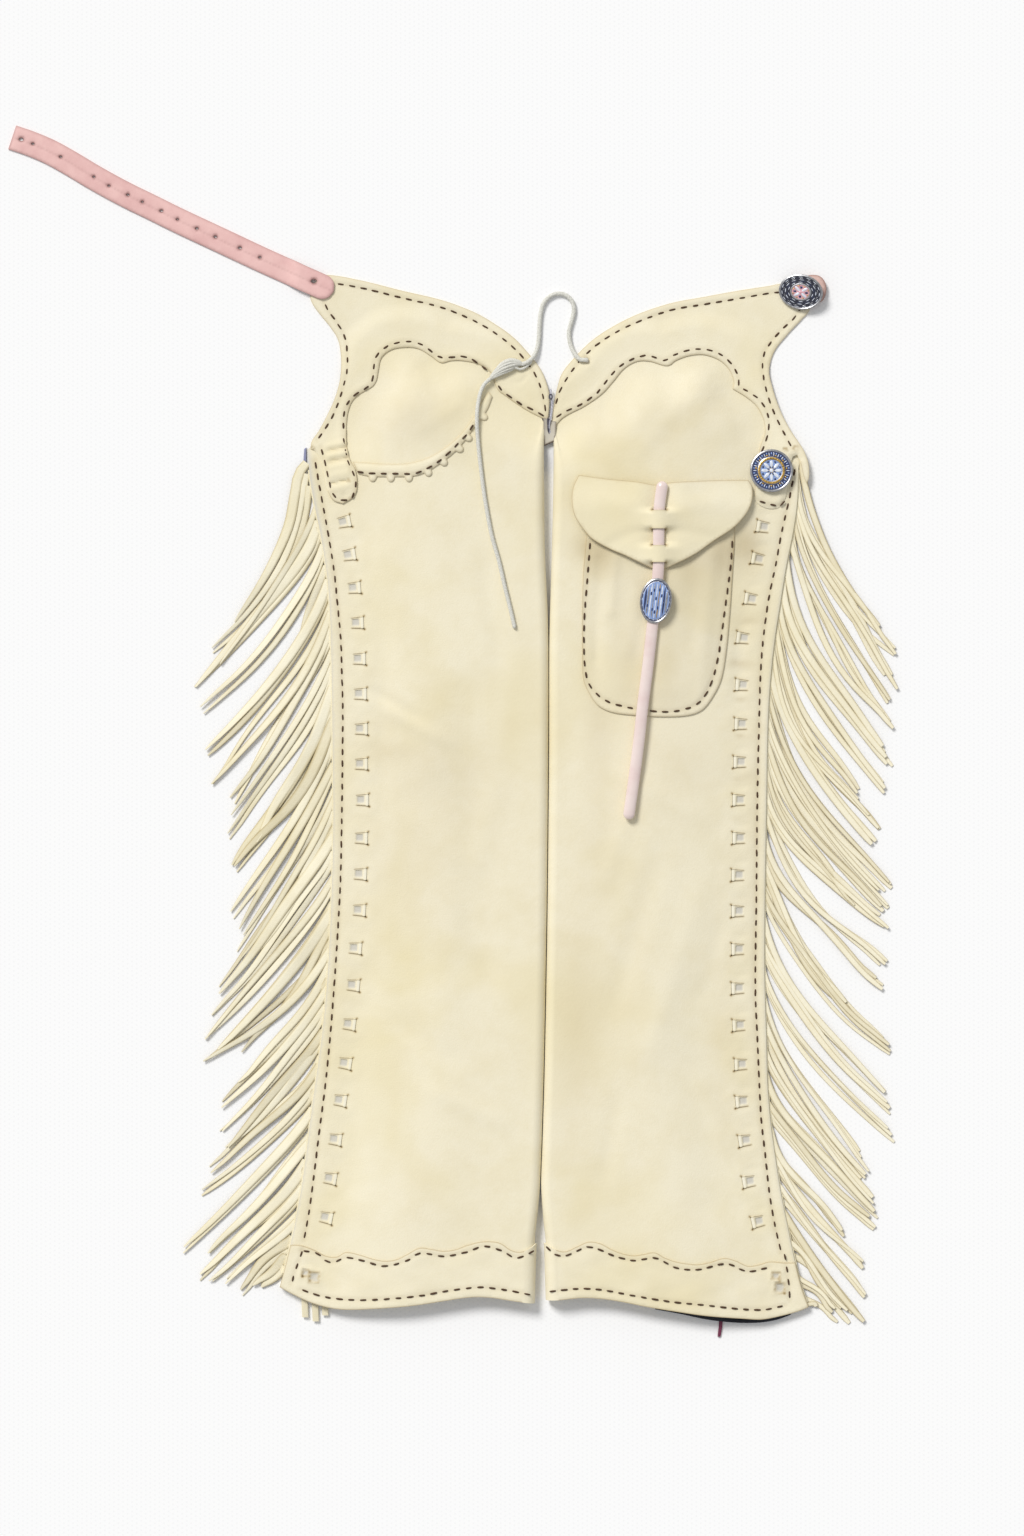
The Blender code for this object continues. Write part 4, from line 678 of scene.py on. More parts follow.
class Side:
    """One leg: layout places and heights of its front layer's top face."""

    def __init__(self, name):
        left = name == "left"
        self.name = name
        self.toward_inner = 1.0 if left else -1.0
        self.scallop = SCALLOP[name]
        self.slots = SLOTS[name]
        self.seam_stitches = smooth_line(SEAM_STITCHES[name], 12)
        far_out = 200.0 if left else 900.0
        far_in = 640.0 if left else 460.0
        self.rise_line = self.scallop + [(far_out, self.scallop[-1][1])]
        self.rise_area = [(far_in, self.scallop[0][1])] + self.rise_line
        self.rise_area += [(far_out, 1500), (far_in, 1500)]

    def outer(self, y):
        return graph(OUTER_EDGE[self.name], y)

    def inner(self, y):
        return graph(INNER_EDGE[self.name], y)

    def hem(self, x):
        return graph(HEM_EDGE[self.name], x)

    def depth_in(self, x, y):
        """How far points lie inside the scallop's line, below 0 outside it."""
        near = distance(x, y, self.rise_line)
        return np.where(inside(self.rise_area, x, y), near, -near)

    def over_leg(self, x, y):
        """Share of the leg's height that a yoke keeps on its way down to the table."""
        return ease((self.depth_in(x, y) + YOKE_FALL[1]) / (YOKE_FALL[1] - YOKE_FALL[0]))

    def rise(self, x, y):
        """Share of the full height inside the scallop, smoothed over its cusps."""
        total = ease(self.depth_in(x, y) / SCALLOP_RISE)
        for k in range(6):
            turn = math.tau * k / 6
            blurred = self.depth_in(x + SCALLOP_BLUR * math.cos(turn), y + SCALLOP_BLUR * math.sin(turn))
            total = total + ease(blurred / SCALLOP_RISE)
        return total / 7

    def front(self, x, y):
        """The front's top face with its soft folds, at nominal rows y."""
        rise = self.rise(x, y)
        from_seam = (x - self.outer(y)) * self.toward_inner
        seam_share = (SEAM_TOP - LEATHER) / (CROWN - LEATHER)
        across = seam_share + (1 - seam_share) * ease(from_seam / CROWN_RISE)
        height = LEATHER + (CROWN - LEATHER) * rise * across
        return height + rise * ease(from_seam / 40) * ridges_at(x, y, SOFT_FOLDS[self.name])

    def row_of(self, x, y):
        """The nominal row of a layout point, which bend_row leads back to it."""
        start, end = HEM_ZONE
        return np.where(y <= start, y, start + (y - start) / (self.hem(x) - start) * (end - start))

    def surface(self, x, y):
        """The front's top face with its finer creases, at layout points."""
        x = np.asarray(x, float)
        y = np.asarray(y, float)
        row = self.row_of(x, y)
        start, _ = self.fold_start(np.clip(row, 431, 1300))
        from_fold = (start - x) * self.toward_inner
        from_seam = (x - self.outer(row)) * self.toward_inner
        keep = ease(from_fold / 26)
        relief = np.zeros(x.shape)
        for x0, y0, x1, y1, width, size in CREASES[self.name]:
            away = distance(x, y, [(x0, y0), (x1, y1)])
            end = np.hypot(x1 - x0, y1 - y0)
            along = ((x - x0) * (x1 - x0) + (y - y0) * (y1 - y0)) / end
            fade = ease(along / (0.3 * end)) * ease((end - along) / (0.3 * end))
            relief += size * bump(away, width) * fade
        slow = np.sin(x * 0.043 + 1.3 * np.sin(y * 0.011)) * np.sin(y * 0.019 + 0.6 * np.sin(x * 0.02))
        relief += 0.35 * slow * ease(from_seam / 60)
        relief -= 0.55 * bump(distance(x, y, self.seam_stitches), 2.6)
        for sx, sy in self.slots:
            near = np.hypot(x - sx, y - sy) < 40
            dx = (x - sx)[near]
            dy = (y - sy)[near]
            relief[near] += 0.3 * bump(np.hypot(dx, dy) - 13, 5)
            relief[near] -= SLOT_PUCKER[self.name] * bump(np.hypot((dx - 3) / 8, (dy + 13) / 3), 1)
        return self.front(x, row) + relief * keep

    def bend_row(self, x, y):
        """Where a nominal row lies, bent to reach the hem."""
        start, end = HEM_ZONE
        bent = start + (y - start) / (end - start) * (self.hem(x) - start)
        return np.where(y <= start, y, bent)

    def fold_start(self, y):
        """Where the front turns down into the inner fold, and the fold's radius in mm."""
        edge = self.inner(y)
        radius = self.front(edge - self.toward_inner * steps(CROWN / 2), y) / 2
        return edge - self.toward_inner * steps(radius), radius


LEFT = Side("left")
RIGHT = Side("right")

# A lace slot's tab in the slot's own axes, u out toward the seam and v down along it
TAB_EDGE = 6.6
TAB_LENGTH = 12.6
TAB_HALF = 5.0
TAB_FLARE = 0.08
SLOT_LINE = [  # the thin cut from its outer top corner round the inner side, and back further in
    (0.0, -4.9), (-12.0, -5.9), (-13.1, -6.6), (-12.7, -5.4), (-12.6, 5.0), (-13.3, 6.9), (-12.0, 6.3),
    (-0.4, 5.5), (-0.4, 5.2), (-11.7, 5.9), (-12.3, 5.2), (-12.45, -5.0), (-11.8, -5.6), (0.0, -4.6),
]


def slot_axes(side, cy):
    """Directions out from the leg and down along its seam, beside a slot."""
    slope = float(side.outer(cy + 12) - side.outer(cy - 12)) / 24
    length = math.hypot(1, slope)
    along = (slope / length, 1 / length)
    return (-side.toward_inner * along[1], side.toward_inner * along[0]), along


def slot_cut(side, cx, cy):
    """Closed line of a slot's cut, as layout points."""
    out, along = slot_axes(side, cy)
    cut = [(TAB_EDGE + u, v) for u, v in SLOT_LINE]
    cut = [(cx + out[0] * u + along[0] * v, cy + out[1] * u + along[1] * v) for u, v in cut]
    line = []
    for k, (x0, y0) in enumerate(cut):
        x1, y1 = cut[(k + 1) % len(cut)]
        parts = max(1, round(math.hypot(x1 - x0, y1 - y0) / 1.4))
        line += [(x0 + (x1 - x0) * j / parts, y0 + (y1 - y0) * j / parts) for j in range(parts)]
    return line


def leg_relief(side, x, y):
    """Heights of a leg's front with each slot's tab pressed in, and its painted marks there: how grey the
    tab's window is with painted shade, how dark its cut lines and corners are, and the painted highlight on
    its raised bar below 0.
    """
    z = side.surface(x, y)
    grey = np.zeros(len(x))
    dark = np.zeros(len(x))
    for cx, cy in side.slots:
        near = np.flatnonzero(np.hypot(x - cx, y - cy) < 13)
        out, along = slot_axes(side, cy)
        dx = x[near] - cx
        dy = y[near] - cy
        u = dx * out[0] + dy * out[1]
        v = dx * along[0] + dy * along[1]
        past = np.abs(v) - TAB_HALF - (TAB_EDGE - u) * TAB_FLARE
        tab = (u < TAB_EDGE) & (u > TAB_EDGE - TAB_LENGTH) & (past < 0)
        bar = ease((-1.2 - u) / 1.6) * (1 - 0.5 * (np.clip(-u - 3.6, -2.6, 2.6) / 2.6) ** 2)
        window = ease((u + 2.0) / 1.0) * (1 - ease((u - 4.6) / 1.8))
        step = ease((v + 4.0) / 1.0) * (1 - ease((v - 1.4) / 3.0))
        z[near] += np.where(tab, 0.95 * bar - 1.1 * window * step + 0.25 * window, 0.0)
        # painted shade in the pressed-in window
        grey[near] += np.where(tab, 0.9 * window * step, 0.0)
        cut = bump(past, 0.9) * (u < TAB_EDGE) * (u > TAB_EDGE - TAB_LENGTH - 0.4)
        dark[near] += 0.55 * cut * np.where(v > 0, 1.0, 0.6)
        for corner, strength in ((-6.6, 1.2), (6.6, 1.75)):
            dark[near] += strength * bump(np.hypot(u + 6.5, v - corner), 1.2)
        # painted highlight on the raised bar
        dark[near] -= np.where(tab, 0.6 * ease((-2.4 - u) / 1.0), 0.0)
    return z, grey, dark


def leg_top(side):
    """The top line of a leg under its yoke, from the outer seam to the fold."""
    if side.name == "left":
        line = moved(side.scallop[2:], [-8.0] * len(side.scallop))[1:]
        return [(325, 437), (336, 428)] + list(reversed(line)) + [(532, 407), (539, 412)]
    line = moved(side.scallop[1:], [8.0] * len(side.scallop))[2:]
    return [(795, 444), (788, 436), (780, 428)] + list(reversed(line)) + [(563, 410), (558, 418)]


def fold_point(side, row, k):
    """Point and normal at step k of the fold's outer face, and the fold's radius in mm."""
    start, radius = side.fold_start(row)
    turn = math.pi * k / FOLD_PARTS
    nx = side.toward_inner * math.sin(turn)
    nz = math.cos(turn)
    x = start + steps(1) * radius * nx
    y = side.bend_row(x, row)
    return x, y, radius + radius * nz, nx, nz, radius


def hem_points(side, start, count, lower=0.0):
    x = np.linspace(start, float(side.outer(HEM_ZONE[1])), count)[1:]
    return pairs(x, side.hem(x) + lower)


def seam_points(side, last_row, count):
    rows = np.linspace(HEM_ZONE[1], last_row, count)[1:]
    x = side.outer(rows)
    return pairs(x, side.bend_row(x, rows))


def fold_faces(side, lattice, keep=None):
    """Quads between the columns of points that go round a fold, both legs' facing outward."""
    quads = []
    for c in range(len(lattice) - 1):
        for r in range(len(lattice[0]) - 1):
            if keep is None or keep(c, r):
                quad = (lattice[c][r], lattice[c][r + 1], lattice[c + 1][r + 1], lattice[c + 1][r])
                quads.append(quad if side.toward_inner > 0 else quad[::-1])
    return quads


def make_leg(side, material):
    rows = np.linspace(FOLD_TOP_ROW[side.name], HEM_ZONE[1], LEG_ROWS)
    starts, radii = side.fold_start(rows)
    fold_line = pairs(starts, side.bend_row(starts, rows))
    hem_line = hem_points(side, starts[-1], LEG_POINTS[0])
    seam = seam_points(side, SEAM_TOP_ROW[side.name], LEG_POINTS[1])
    top = smooth_line([seam[-1]] + leg_top(side) + [fold_line[0]], 3.0, corner=80)[1:-1]
    outline = fold_line + hem_line + seam + top
    dense = []
    cuts = []
    for cx, cy in side.slots:
        out, along = slot_axes(side, cy)
        cuts.append(slot_cut(side, cx, cy))
        for u in np.arange(-9.0, 8.6, 0.9):
            for v in np.arange(-8.6, 8.7, 0.9):
                dense.append((cx + out[0] * u + along[0] * v, cy + out[1] * u + along[1] * v))
    verts, faces, where = fill(outline, cuts, 3.0, dense, 0.8)
    x, y = verts[:, 0], verts[:, 1]
    z, grey, dark = leg_relief(side, x, y)
    z[where[:len(rows)]] = 2 * radii
    seam_away = distance(x, y, seam)
    hem_away = distance(x, y, hem_line)
    z -= 0.5 * bump(np.minimum(seam_away, hem_away), 1.0)
    # the hem's cut edge, painted shade along the seam's stitch groove, and the slots' painted marks
    tones = 0.9 * bump(hem_away, 0.8) + 0.3 * bump(distance(x, y, side.seam_stitches), 2.4) + dark
    # painted shade: grey in the slots' windows and along the outer seam's edge
    if side.name == "left":
        shade_greys = grey + 0.8 * bump(seam_away, 0.9 + 1.9 * (1 - ease((y - 500) / 60)))
        z -= 1.3 * (1 - ease((y - 448) / 10)) * (1 - ease((x - 304) / 10))
    else:
        shade_greys = grey + 0.5 * ease((y - 540) / 40) * bump(seam_away, 0.9)
        z -= 1.8 * (1 - ease((y - 456) / 16)) * ease((x - 784) / 8)
    # painted shade and shadow from SHADES, and painted light where it is below 0
    tones = tones + spots_at(x, y, SHADES[side.name])
    for cut in cuts:
        near = np.flatnonzero(np.hypot(x - cut[0][0], y - cut[0][1]) < 26)
        tones[near] += 0.3 * bump(distance(x[near], y[near], cut, True), 0.6)
    outer = [place(x, y, z)]
    inner = [place(x, y, z - LEATHER)]
    count = len(verts)
    column = np.array(where[:len(rows)])
    lattice = [column]
    full = rows >= BACK_TOP
    for k in range(1, FOLD_PARTS + 1):
        fx, fy, fz, nx, nz, radius = fold_point(side, rows, k)
        depth = np.full(len(rows), LEATHER)
        if k < FOLD_PARTS:
            depth = np.minimum(LEATHER, np.maximum(radius - 0.3, 0.05))
        outer.append(place(fx, fy, fz))
        inner.append(place(fx - steps(1) * nx * depth, fy, fz - nz * depth))
        lattice.append(count + np.arange(len(rows)))
        count += len(rows)
    for k in range(1, BACK_PARTS + 1):
        bx = starts + (side.outer(rows) - starts) * k / BACK_PARTS
        by = side.bend_row(bx, rows)
        outer.append(place(bx, by, np.zeros(len(rows))))
        inner.append(place(bx, by, np.full(len(rows), LEATHER)))
        lattice.append(count + np.arange(len(rows)))
        count += len(rows)
    shade_greys = np.concatenate([shade_greys, np.zeros(count - len(shade_greys))])
    tones = np.concatenate([tones, np.zeros(count - len(tones))])
    quads = fold_faces(side, lattice, lambda c, r: c < FOLD_PARTS // 2 or full[r])
    tones[column[-1]] = 0.9
    used = np.zeros(count, bool)
    whole = [tuple(face) for face in faces] + quads
    for face in whole:
        used[list(face)] = True
    remap = np.cumsum(used) - 1
    whole = [tuple(remap[list(face)]) for face in whole]
    obj = wall("leg_panel_" + side.name, np.concatenate(outer)[used], np.concatenate(inner)[used],
               whole, material, tones[used], shade_greys[used])
    return stand_in(obj, "leg_" + side.name)


# Waves of the left hip tab's laced puffs: level, width, height in mm
TAB_WAVES = [(444.5, 2.2, 0.6), (449.5, 2.2, -1.3), (454.5, 2.8, 0.9), (460.8, 2.4, -1.6),
             (467, 3.5, 0.7), (475, 4.0, 0.9), (483, 1.1, -1.7), (489, 3.2, 0.8)]
CIRCLE_MARKS = [(313, 448.5), (785, 450), (795.3, 448.5)]


def yoke_low(side, x, y):
    return (side.surface(x, y) + GAP) * side.over_leg(x, y)


def make_yoke(side, material, holes=()):
    outline = smooth_line(side.scallop + YOKE_EDGE[side.name], 1.6, closed=True)
    stitched = [smooth_line(line, 6) for line in YOKE_STITCHES[side.name]]
    scallop = smooth_line(side.scallop, 4)
    if side.name == "left":
        sunk = [(309, 449), (316, 452), (322, 462), (327, 488)]
    else:
        sunk = [(755, 500), (762, 507), (774, 509), (783, 504), (788, 480), (792, 458), (797, 455),
                (799, 459)]

    def relief(x, y, rim):
        added = 0.27 * bump(rim - 5, 4) - 0.8 * (1 - ease(distance(x, y, scallop) / 4))
        added = added - 1.1 * (1 - ease(distance(x, y, sunk) / 5)) - 0.5 * lines_at(x, y, stitched, 1.8)
        if side.name == "left":
            level = y + 0.2 * (x - 337)
            near = ease((x - 324 - (y - 444) * 0.12) / 4) * ease((352 - x) / 4)
            for wy, width, size in TAB_WAVES:
                added = added + size * bump(level - wy, width) * near
            added = added - 1.2 * bump(np.hypot(x - 345, y - 496.5), 3.4)
            added = added - 0.6 * bump(np.hypot(x - 517, y - 374) - 9, 1.4) * (y > 376) * (x > 512)
        slow = np.sin(x * 0.06 + 1.1 * np.sin(y * 0.05)) * np.sin(y * 0.07)
        return added + 0.3 * slow * ease(rim / 12)

    def tone(x, y, rim):
        # painted shade along the stitch grooves
        found = 0.2 * lines_at(x, y, stitched, 2.2)
        if side.name == "left":
            level = y + 0.2 * (x - 337)
            near = ease((x - 326 - (y - 444) * 0.12) / 4) * ease((351 - x) / 4)
            for wy, width, size in TAB_WAVES:
                # painted shade in the hollows between the tab's puffs
                if size < 0:
                    found = found + 0.22 * bump(level - wy, width) * near
            found = found + 1.3 * bump(np.hypot(x - 349, y - 481), 1.5)
        # takes the cut edge's brown off along the sunk edges, leaving a faint painted highlight there
        found = found - 0.75 * bump(rim, 1.0) * (1 - ease(distance(x, y, sunk) / 4))
        for mx, my in CIRCLE_MARKS:
            found = found + 1.0 * bump(np.hypot(x - mx, y - my) - 1.7, 0.8)
        return found

    obj = panel("yoke_panel_" + side.name, outline, lambda x, y: yoke_low(side, x, y), LEATHER,
                material, holes=holes, spacing=2.4, relief=relief, tone=tone)
    return stand_in(obj, "yoke_" + side.name)


BAND_SLOTS = {"left": [(306, 1272, 3.4), (314.5, 1276, 4.6)],
              "right": [(775.5, 1275, 3.6), (779.5, 1287, 4.6)]}


def make_band(side, material):
    """Hem band over the front and round the fold."""

    def wave(x):
        return graph(WAVE[side.name], x)

    far = GAP + BAND_LEATHER
    columns = []
    for k in range(BAND_FOLD + 1):
        x_top = float(fold_point(side, np.array([BAND_ROW]), k)[0][0])
        top = float(side.row_of(np.array([x_top]), np.array([float(wave(x_top))]))[0])
        fx, fy, fz, nx, nz, _ = fold_point(side, np.linspace(top, HEM_ZONE[1], BAND_ROWS), k)
        fy[-1] += steps(BAND_OVERHANG)
        columns.append((fx, fy, fz, nx, nz))
    fold_line = pairs(columns[0][0], columns[0][1])
    hem_line = hem_points(side, fold_line[-1][0], BAND_POINTS[0], steps(BAND_OVERHANG))
    seam_x = side.outer(BAND_ROW)
    seam = seam_points(side, float(side.row_of(seam_x, np.array(float(wave(seam_x))))), BAND_POINTS[1])
    wave_x = np.linspace(seam[-1][0], fold_line[0][0], BAND_POINTS[2])[1:-1]
    top = pairs(wave_x, wave(wave_x))
    outline = fold_line + hem_line + seam + top
    verts, faces, where = fill(outline, (), 2.4, (), 1.2)
    x, y = verts[:, 0], verts[:, 1]
    under = side.surface(x, y) + GAP
    stitched = [smooth_line(line, 6) for line in HEM_STITCHES[side.name]]
    rim = np.min([distance(x, y, line) for line in (top, hem_line, seam)], axis=0)
    high = under + BAND_LEATHER - 0.5 * np.clip(1 - rim / 1.2, 0, 1) ** 2
    high -= 0.45 * lines_at(x, y, stitched, 1.8)
    # the band's cut edges, and painted shade along the stitch grooves
    tones = 0.9 * bump(rim, 0.8) + 0.2 * lines_at(x, y, stitched, 2.2)
    high += 0.25 * np.sin(x * 0.11 + np.sin(y * 0.2)) * ease(rim / 10)
    shade_greys = np.zeros(len(x))
    for cx, cy, size in BAND_SLOTS[side.name]:
        reach = np.maximum(np.abs(x - cx + 0.12 * (y - cy)), np.abs(y - cy - 0.12 * (x - cx)))
        hollow = ease((size - reach) / 1.6)
        high -= 1.3 * hollow - 0.6 * bump(reach - size - 1.6, 1.6)
        # painted shade in each slot's pressed-in hollow
        shade_greys += 0.85 * hollow
        tones += 0.8 * bump(reach - size - 0.2, 0.9) + 1.4 * bump(
            np.hypot(x - cx + side.toward_inner * size, y - cy - size), 1.4)
    column = np.array(where[:BAND_ROWS])
    high[column] = columns[0][2] + far
    under[column] = columns[0][2] + GAP
    outer = [place(x, y, high)]
    inner = [place(x, y, under)]
    total = len(verts)
    lattice = [column]
    for fx, fy, fz, nx, nz in columns[1:]:
        outer.append(place(fx + steps(far) * nx, fy, fz + far * nz))
        inner.append(place(fx + steps(GAP) * nx, fy, fz + GAP * nz))
        lattice.append(total + np.arange(BAND_ROWS))
        total += BAND_ROWS
    tones = np.concatenate([tones, np.zeros(total - len(tones))])
    shade_greys = np.concatenate([shade_greys, np.zeros(total - len(shade_greys))])
    obj = wall("hem_band_panel_" + side.name, np.concatenate(outer), np.concatenate(inner),
               [tuple(face) for face in faces] + fold_faces(side, lattice), material, tones, shade_greys)
    return stand_in(obj, "hem_band_" + side.name)


POCKET_FOLDS = [(615, 560, 610, 612, 6, 0.9), (637, 596, 628, 650, 7, 0.7), (712, 556, 700, 700, 8, 0.8),
                (600, 560, 596, 660, 5, -0.6), (690, 560, 690, 640, 9, -0.6)]
# Painted shade in the pocket's folds and painted shadow under the flap's lower corners: x, y, reach across,
# reach down, strength
POCKET_SHADES = [(600, 556, 18, 20, 0.45), (628, 650, 12, 40, 0.14), (690, 565, 16, 40, 0.26),
                 (722, 552, 16, 26, 0.40), (640, 590, 8, 16, 0.10), (668, 660, 10, 36, 0.08)]


def make_pocket(material):
    outline = smooth_line(POCKET_OUTLINE, 1.8, closed=True)
    line = smooth_line(POCKET_STITCHES, 6)

    def relief(x, y, rim):
        folds = ridges_at(x, y, POCKET_FOLDS) * ease((rim - 5) / 8)
        return 1.1 * ease((rim - 6) / 26) - 0.5 * bump(distance(x, y, line), 1.9) + folds

    def tone(x, y, rim):
        # painted shade along the stitch groove, the pocket a little darker overall, and the painted shade
        # and shadow of POCKET_SHADES
        return 0.2 * bump(distance(x, y, line), 2.2) + 0.09 + spots_at(x, y, POCKET_SHADES)

    obj = panel("pocket_panel", outline, lambda x, y: RIGHT.surface(x, y) + GAP, BAND_LEATHER,
                material, spacing=2.4, relief=relief, tone=tone)
    return stand_in(obj, "pocket_right")


def welt_outline():
    """The welt's outline, with a small round tab at each of its stitches."""
    top = smooth_line(WELT_TOP, 1.8)
    bottom = smooth_line(WELT_BOTTOM, 0.8)
    reaches = []
    for (x, y), (dx, dy) in zip(bottom, headings(bottom)):
        reach = 0.0
        for tx, ty in WELT_TABS:
            along = (x - tx) * dx + (y - ty) * dy
            away = abs((x - tx) * dy - (y - ty) * dx)
            if abs(along) < WELT_TAB_RADIUS and away < 8:
                reach = max(reach, WELT_TAB_REACH * math.sqrt(1 - (along / WELT_TAB_RADIUS) ** 2))
        reaches.append(reach)
    return top + moved(bottom, reaches)


def make_welt(material):
    line = smooth_line(WELT_STITCHES, 4)
    obj = panel("welt_panel", welt_outline(), lambda x, y: LEFT.surface(x, y) + GAP, WELT_LEATHER,
                material, spacing=1.8, edge=0.8,
                relief=lambda x, y, rim: (0.7 * ease(rim / 4) - 0.4 * bump(distance(x, y, line), 1.6)
                                          - 0.5 * (1 - ease((x - 353) / 9))),
                # painted shade along the stitch groove
                tone=lambda x, y, rim: 0.25 * bump(distance(x, y, line), 2.0), edge_tone=0.55)
    return stand_in(obj, "welt_left")


def thong_x(y):
    return graph([(py, px) for px, py in THONG_ROUTE], y)


SLIT_HALF = 7.6
SLIT_OPEN = 0.3
FLAP_FOLDS = [(640, 530, 610, 545, 6, -0.7), (676, 530, 712, 538, 6, -0.7), (640, 508, 600, 500, 8, 0.5),
              (676, 508, 716, 502, 8, 0.5)]


def flap_middle(x, y):
    """Height of the middle of the flap's leather, which is laced over and under the thong."""
    x = np.asarray(x, float)
    y = np.asarray(y, float)
    dx = x - thong_x(y)
    loose = 2.0 + 4.6 * ease((y - 474) / 40)
    lift = loose + (FLAP_LIFT - loose) * np.exp(-(dx / 30) ** 2)
    first, second, third, fourth = FLAP_SLITS
    sharp = np.where(((y > first) & (y < second)) | ((y > third) & (y < fourth)), 1.0, -1.0)
    soft = -1 + 2 * (ease((y - first + 4) / 8) * ease((second + 4 - y) / 8)
                     + ease((y - third + 4) / 8) * ease((fourth + 4 - y) / 8))
    mix = ease((np.abs(dx) - 5.6) / (SLIT_HALF - 5.6))
    side = sharp + (soft - sharp) * mix
    arch = (THONG_HEIGHT / 2 + GAP + BAND_LEATHER / 2) * np.exp(-(dx / 14) ** 2)
    return RIGHT.front(x, y) + lift + side * arch


def make_flap(material):
    outline = smooth_line(FLAP_OUTLINE, 1.8, closed=True)
    ends = np.arange(-8, 9, 2) / 10
    slits = []
    for row in FLAP_SLITS:
        middle = float(thong_x(row))
        upper = [(middle + SLIT_HALF * u, row + SLIT_OPEN) for u in ends]
        lower = [(middle + SLIT_HALF * u, row - SLIT_OPEN) for u in reversed(ends)]
        slits.append([(middle - SLIT_HALF, row)] + upper + [(middle + SLIT_HALF, row)] + lower)
    dense = [(px + dx, py) for py in np.arange(486, 572, 1.5)
             for dx in np.arange(-14, 14.5, 1.5) for px in [float(thong_x(py))]]
    verts, faces, _ = fill(outline, slits, 2.6, dense, 1.1)
    x, y = verts[:, 0], verts[:, 1]
    middle = flap_middle(x, y)
    rim = distance(x, y, outline, True)
    tones = 0.9 * bump(rim, 0.9)
    for row, slit in zip(FLAP_SLITS, slits):
        tones += 0.5 * bump(distance(x, y, slit, True), 0.8)
        # painted shade in the puckers at each slit's ends
        for end in (-SLIT_HALF, SLIT_HALF):
            tones += 0.7 * bump(np.hypot(x - float(thong_x(row)) - end, y - row), 1.6)
    middle = middle + ridges_at(x, y, FLAP_FOLDS)
    top = middle + BAND_LEATHER / 2 - 0.4 * np.clip(1 - rim / 1.2, 0, 1) ** 2
    obj = wall("flap_panel", place(x, y, top), place(x, y, middle - BAND_LEATHER / 2), faces,
               material, tones)
    return stand_in(obj, "pocket_flap_right")


def ring_faces(count, sides, first=0):
    """Quads between rings of points that follow each other, and a face over each end."""
    faces = []
    for r in range(count - 1):
        for k in range(sides):
            a = first + r * sides + k
            b = first + r * sides + (k + 1) % sides
            faces.append((a, a + sides, b + sides, b))
    faces.append(tuple(first + k for k in range(sides)))
    faces.append(tuple(first + (count - 1) * sides + k for k in range(sides))[::-1])
    return faces


def tube(centres, radius, sides=16, flat=1.0, profile=None, twist=0.0):
    """A closed tube along model points, with rounded ends; profile shapes its section."""
    pts = np.array(centres)
    ahead = np.gradient(pts, axis=0)
    ahead /= np.linalg.norm(ahead, axis=1)[:, None]
    up = np.array([0.0, 0.0, 1.0])
    across = np.cross(ahead, up)
    across /= np.linalg.norm(across, axis=1)[:, None] + 1e-12
    over = np.cross(across, ahead)
    sizes = np.broadcast_to(np.asarray(radius, float), (len(pts),)).copy()
    rings = []
    far = np.concatenate([[0], np.cumsum(np.linalg.norm(np.diff(pts, axis=0), axis=1))])
    turns = np.arange(sides) * math.tau / sides

    def ring(k, shift, size):
        phase = far[k] * twist
        shape = profile(turns - phase) if profile else np.ones(sides)
        r = sizes[k] * size * shape
        return (pts[k] + ahead[k] * shift + across[k] * (r * np.cos(turns))[:, None]
                + over[k] * (r * np.sin(turns) * flat)[:, None])

    caps = [(-0.9, 0.35), (-0.6, 0.75), (-0.25, 0.95)]
    for shift, size in caps:
        rings.append(ring(0, shift * sizes[0], size))
    for k in range(len(pts)):
        rings.append(ring(k, 0.0, 1.0))
    for shift, size in reversed(caps):
        rings.append(ring(len(pts) - 1, -shift * sizes[-1], size))
    return np.concatenate(rings), ring_faces(len(rings), sides)


def tube_piece(name, centres, radius, material, **words):
    verts, faces = tube(centres, radius, **words)
    return add_piece(name, verts, faces, material, sharp=60)


def join_tubes(name, parts, material, tones=None, sharp=60.0):
    verts = []
    faces = []
    count = 0
    for part_verts, part_faces in parts:
        verts.append(part_verts)
        faces += [tuple(v + count for v in face) for face in part_faces]
        count += len(part_verts)
    return add_piece(name, np.concatenate(verts), faces, material, tones, sharp=sharp)


def make_thong(material):
    line = smooth_line(THONG_ROUTE, 3.0)
    x = np.array([p[0] for p in line])
    y = np.array([p[1] for p in line])
    on_flap = RIGHT.front(x, y) + FLAP_LIFT
    lying = RIGHT.front(x, y) + 2 * GAP + BAND_LEATHER + THONG_HEIGHT / 2 + 0.9
    z = on_flap + (lying - on_flap) * ease((y - 573) / 48)
    obj = tube_piece("thong_cord", place(x, y, z), THONG_WIDTH / 2 * MM, material, sides=20,
                     flat=THONG_HEIGHT / THONG_WIDTH)
    return stand_in(obj, "pocket_thong")


def ribbon(places, low, thickness, rolls):
    """A flat strand through (x, y, across x, across y, half width); returns its mesh."""
    section = [(-1, 0.35), (-0.86, 0.92), (-0.45, 1.06), (0.45, 1.06), (0.86, 0.92), (1, 0.35),
               (0.8, 0.0), (-0.8, 0.0)]
    verts = []
    for (x, y, ax, ay, half), base, thick, roll in zip(places, low, thickness, rolls):
        for u, v in section:
            side = u * half * math.cos(roll)
            high = v * thick + u * half * LAYOUT_STEP / MM * math.sin(roll)
            verts.append(place(x + ax * side, y + ay * side, max(base + high, 0.05)))
    return np.array(verts), ring_faces(len(places), len(section))


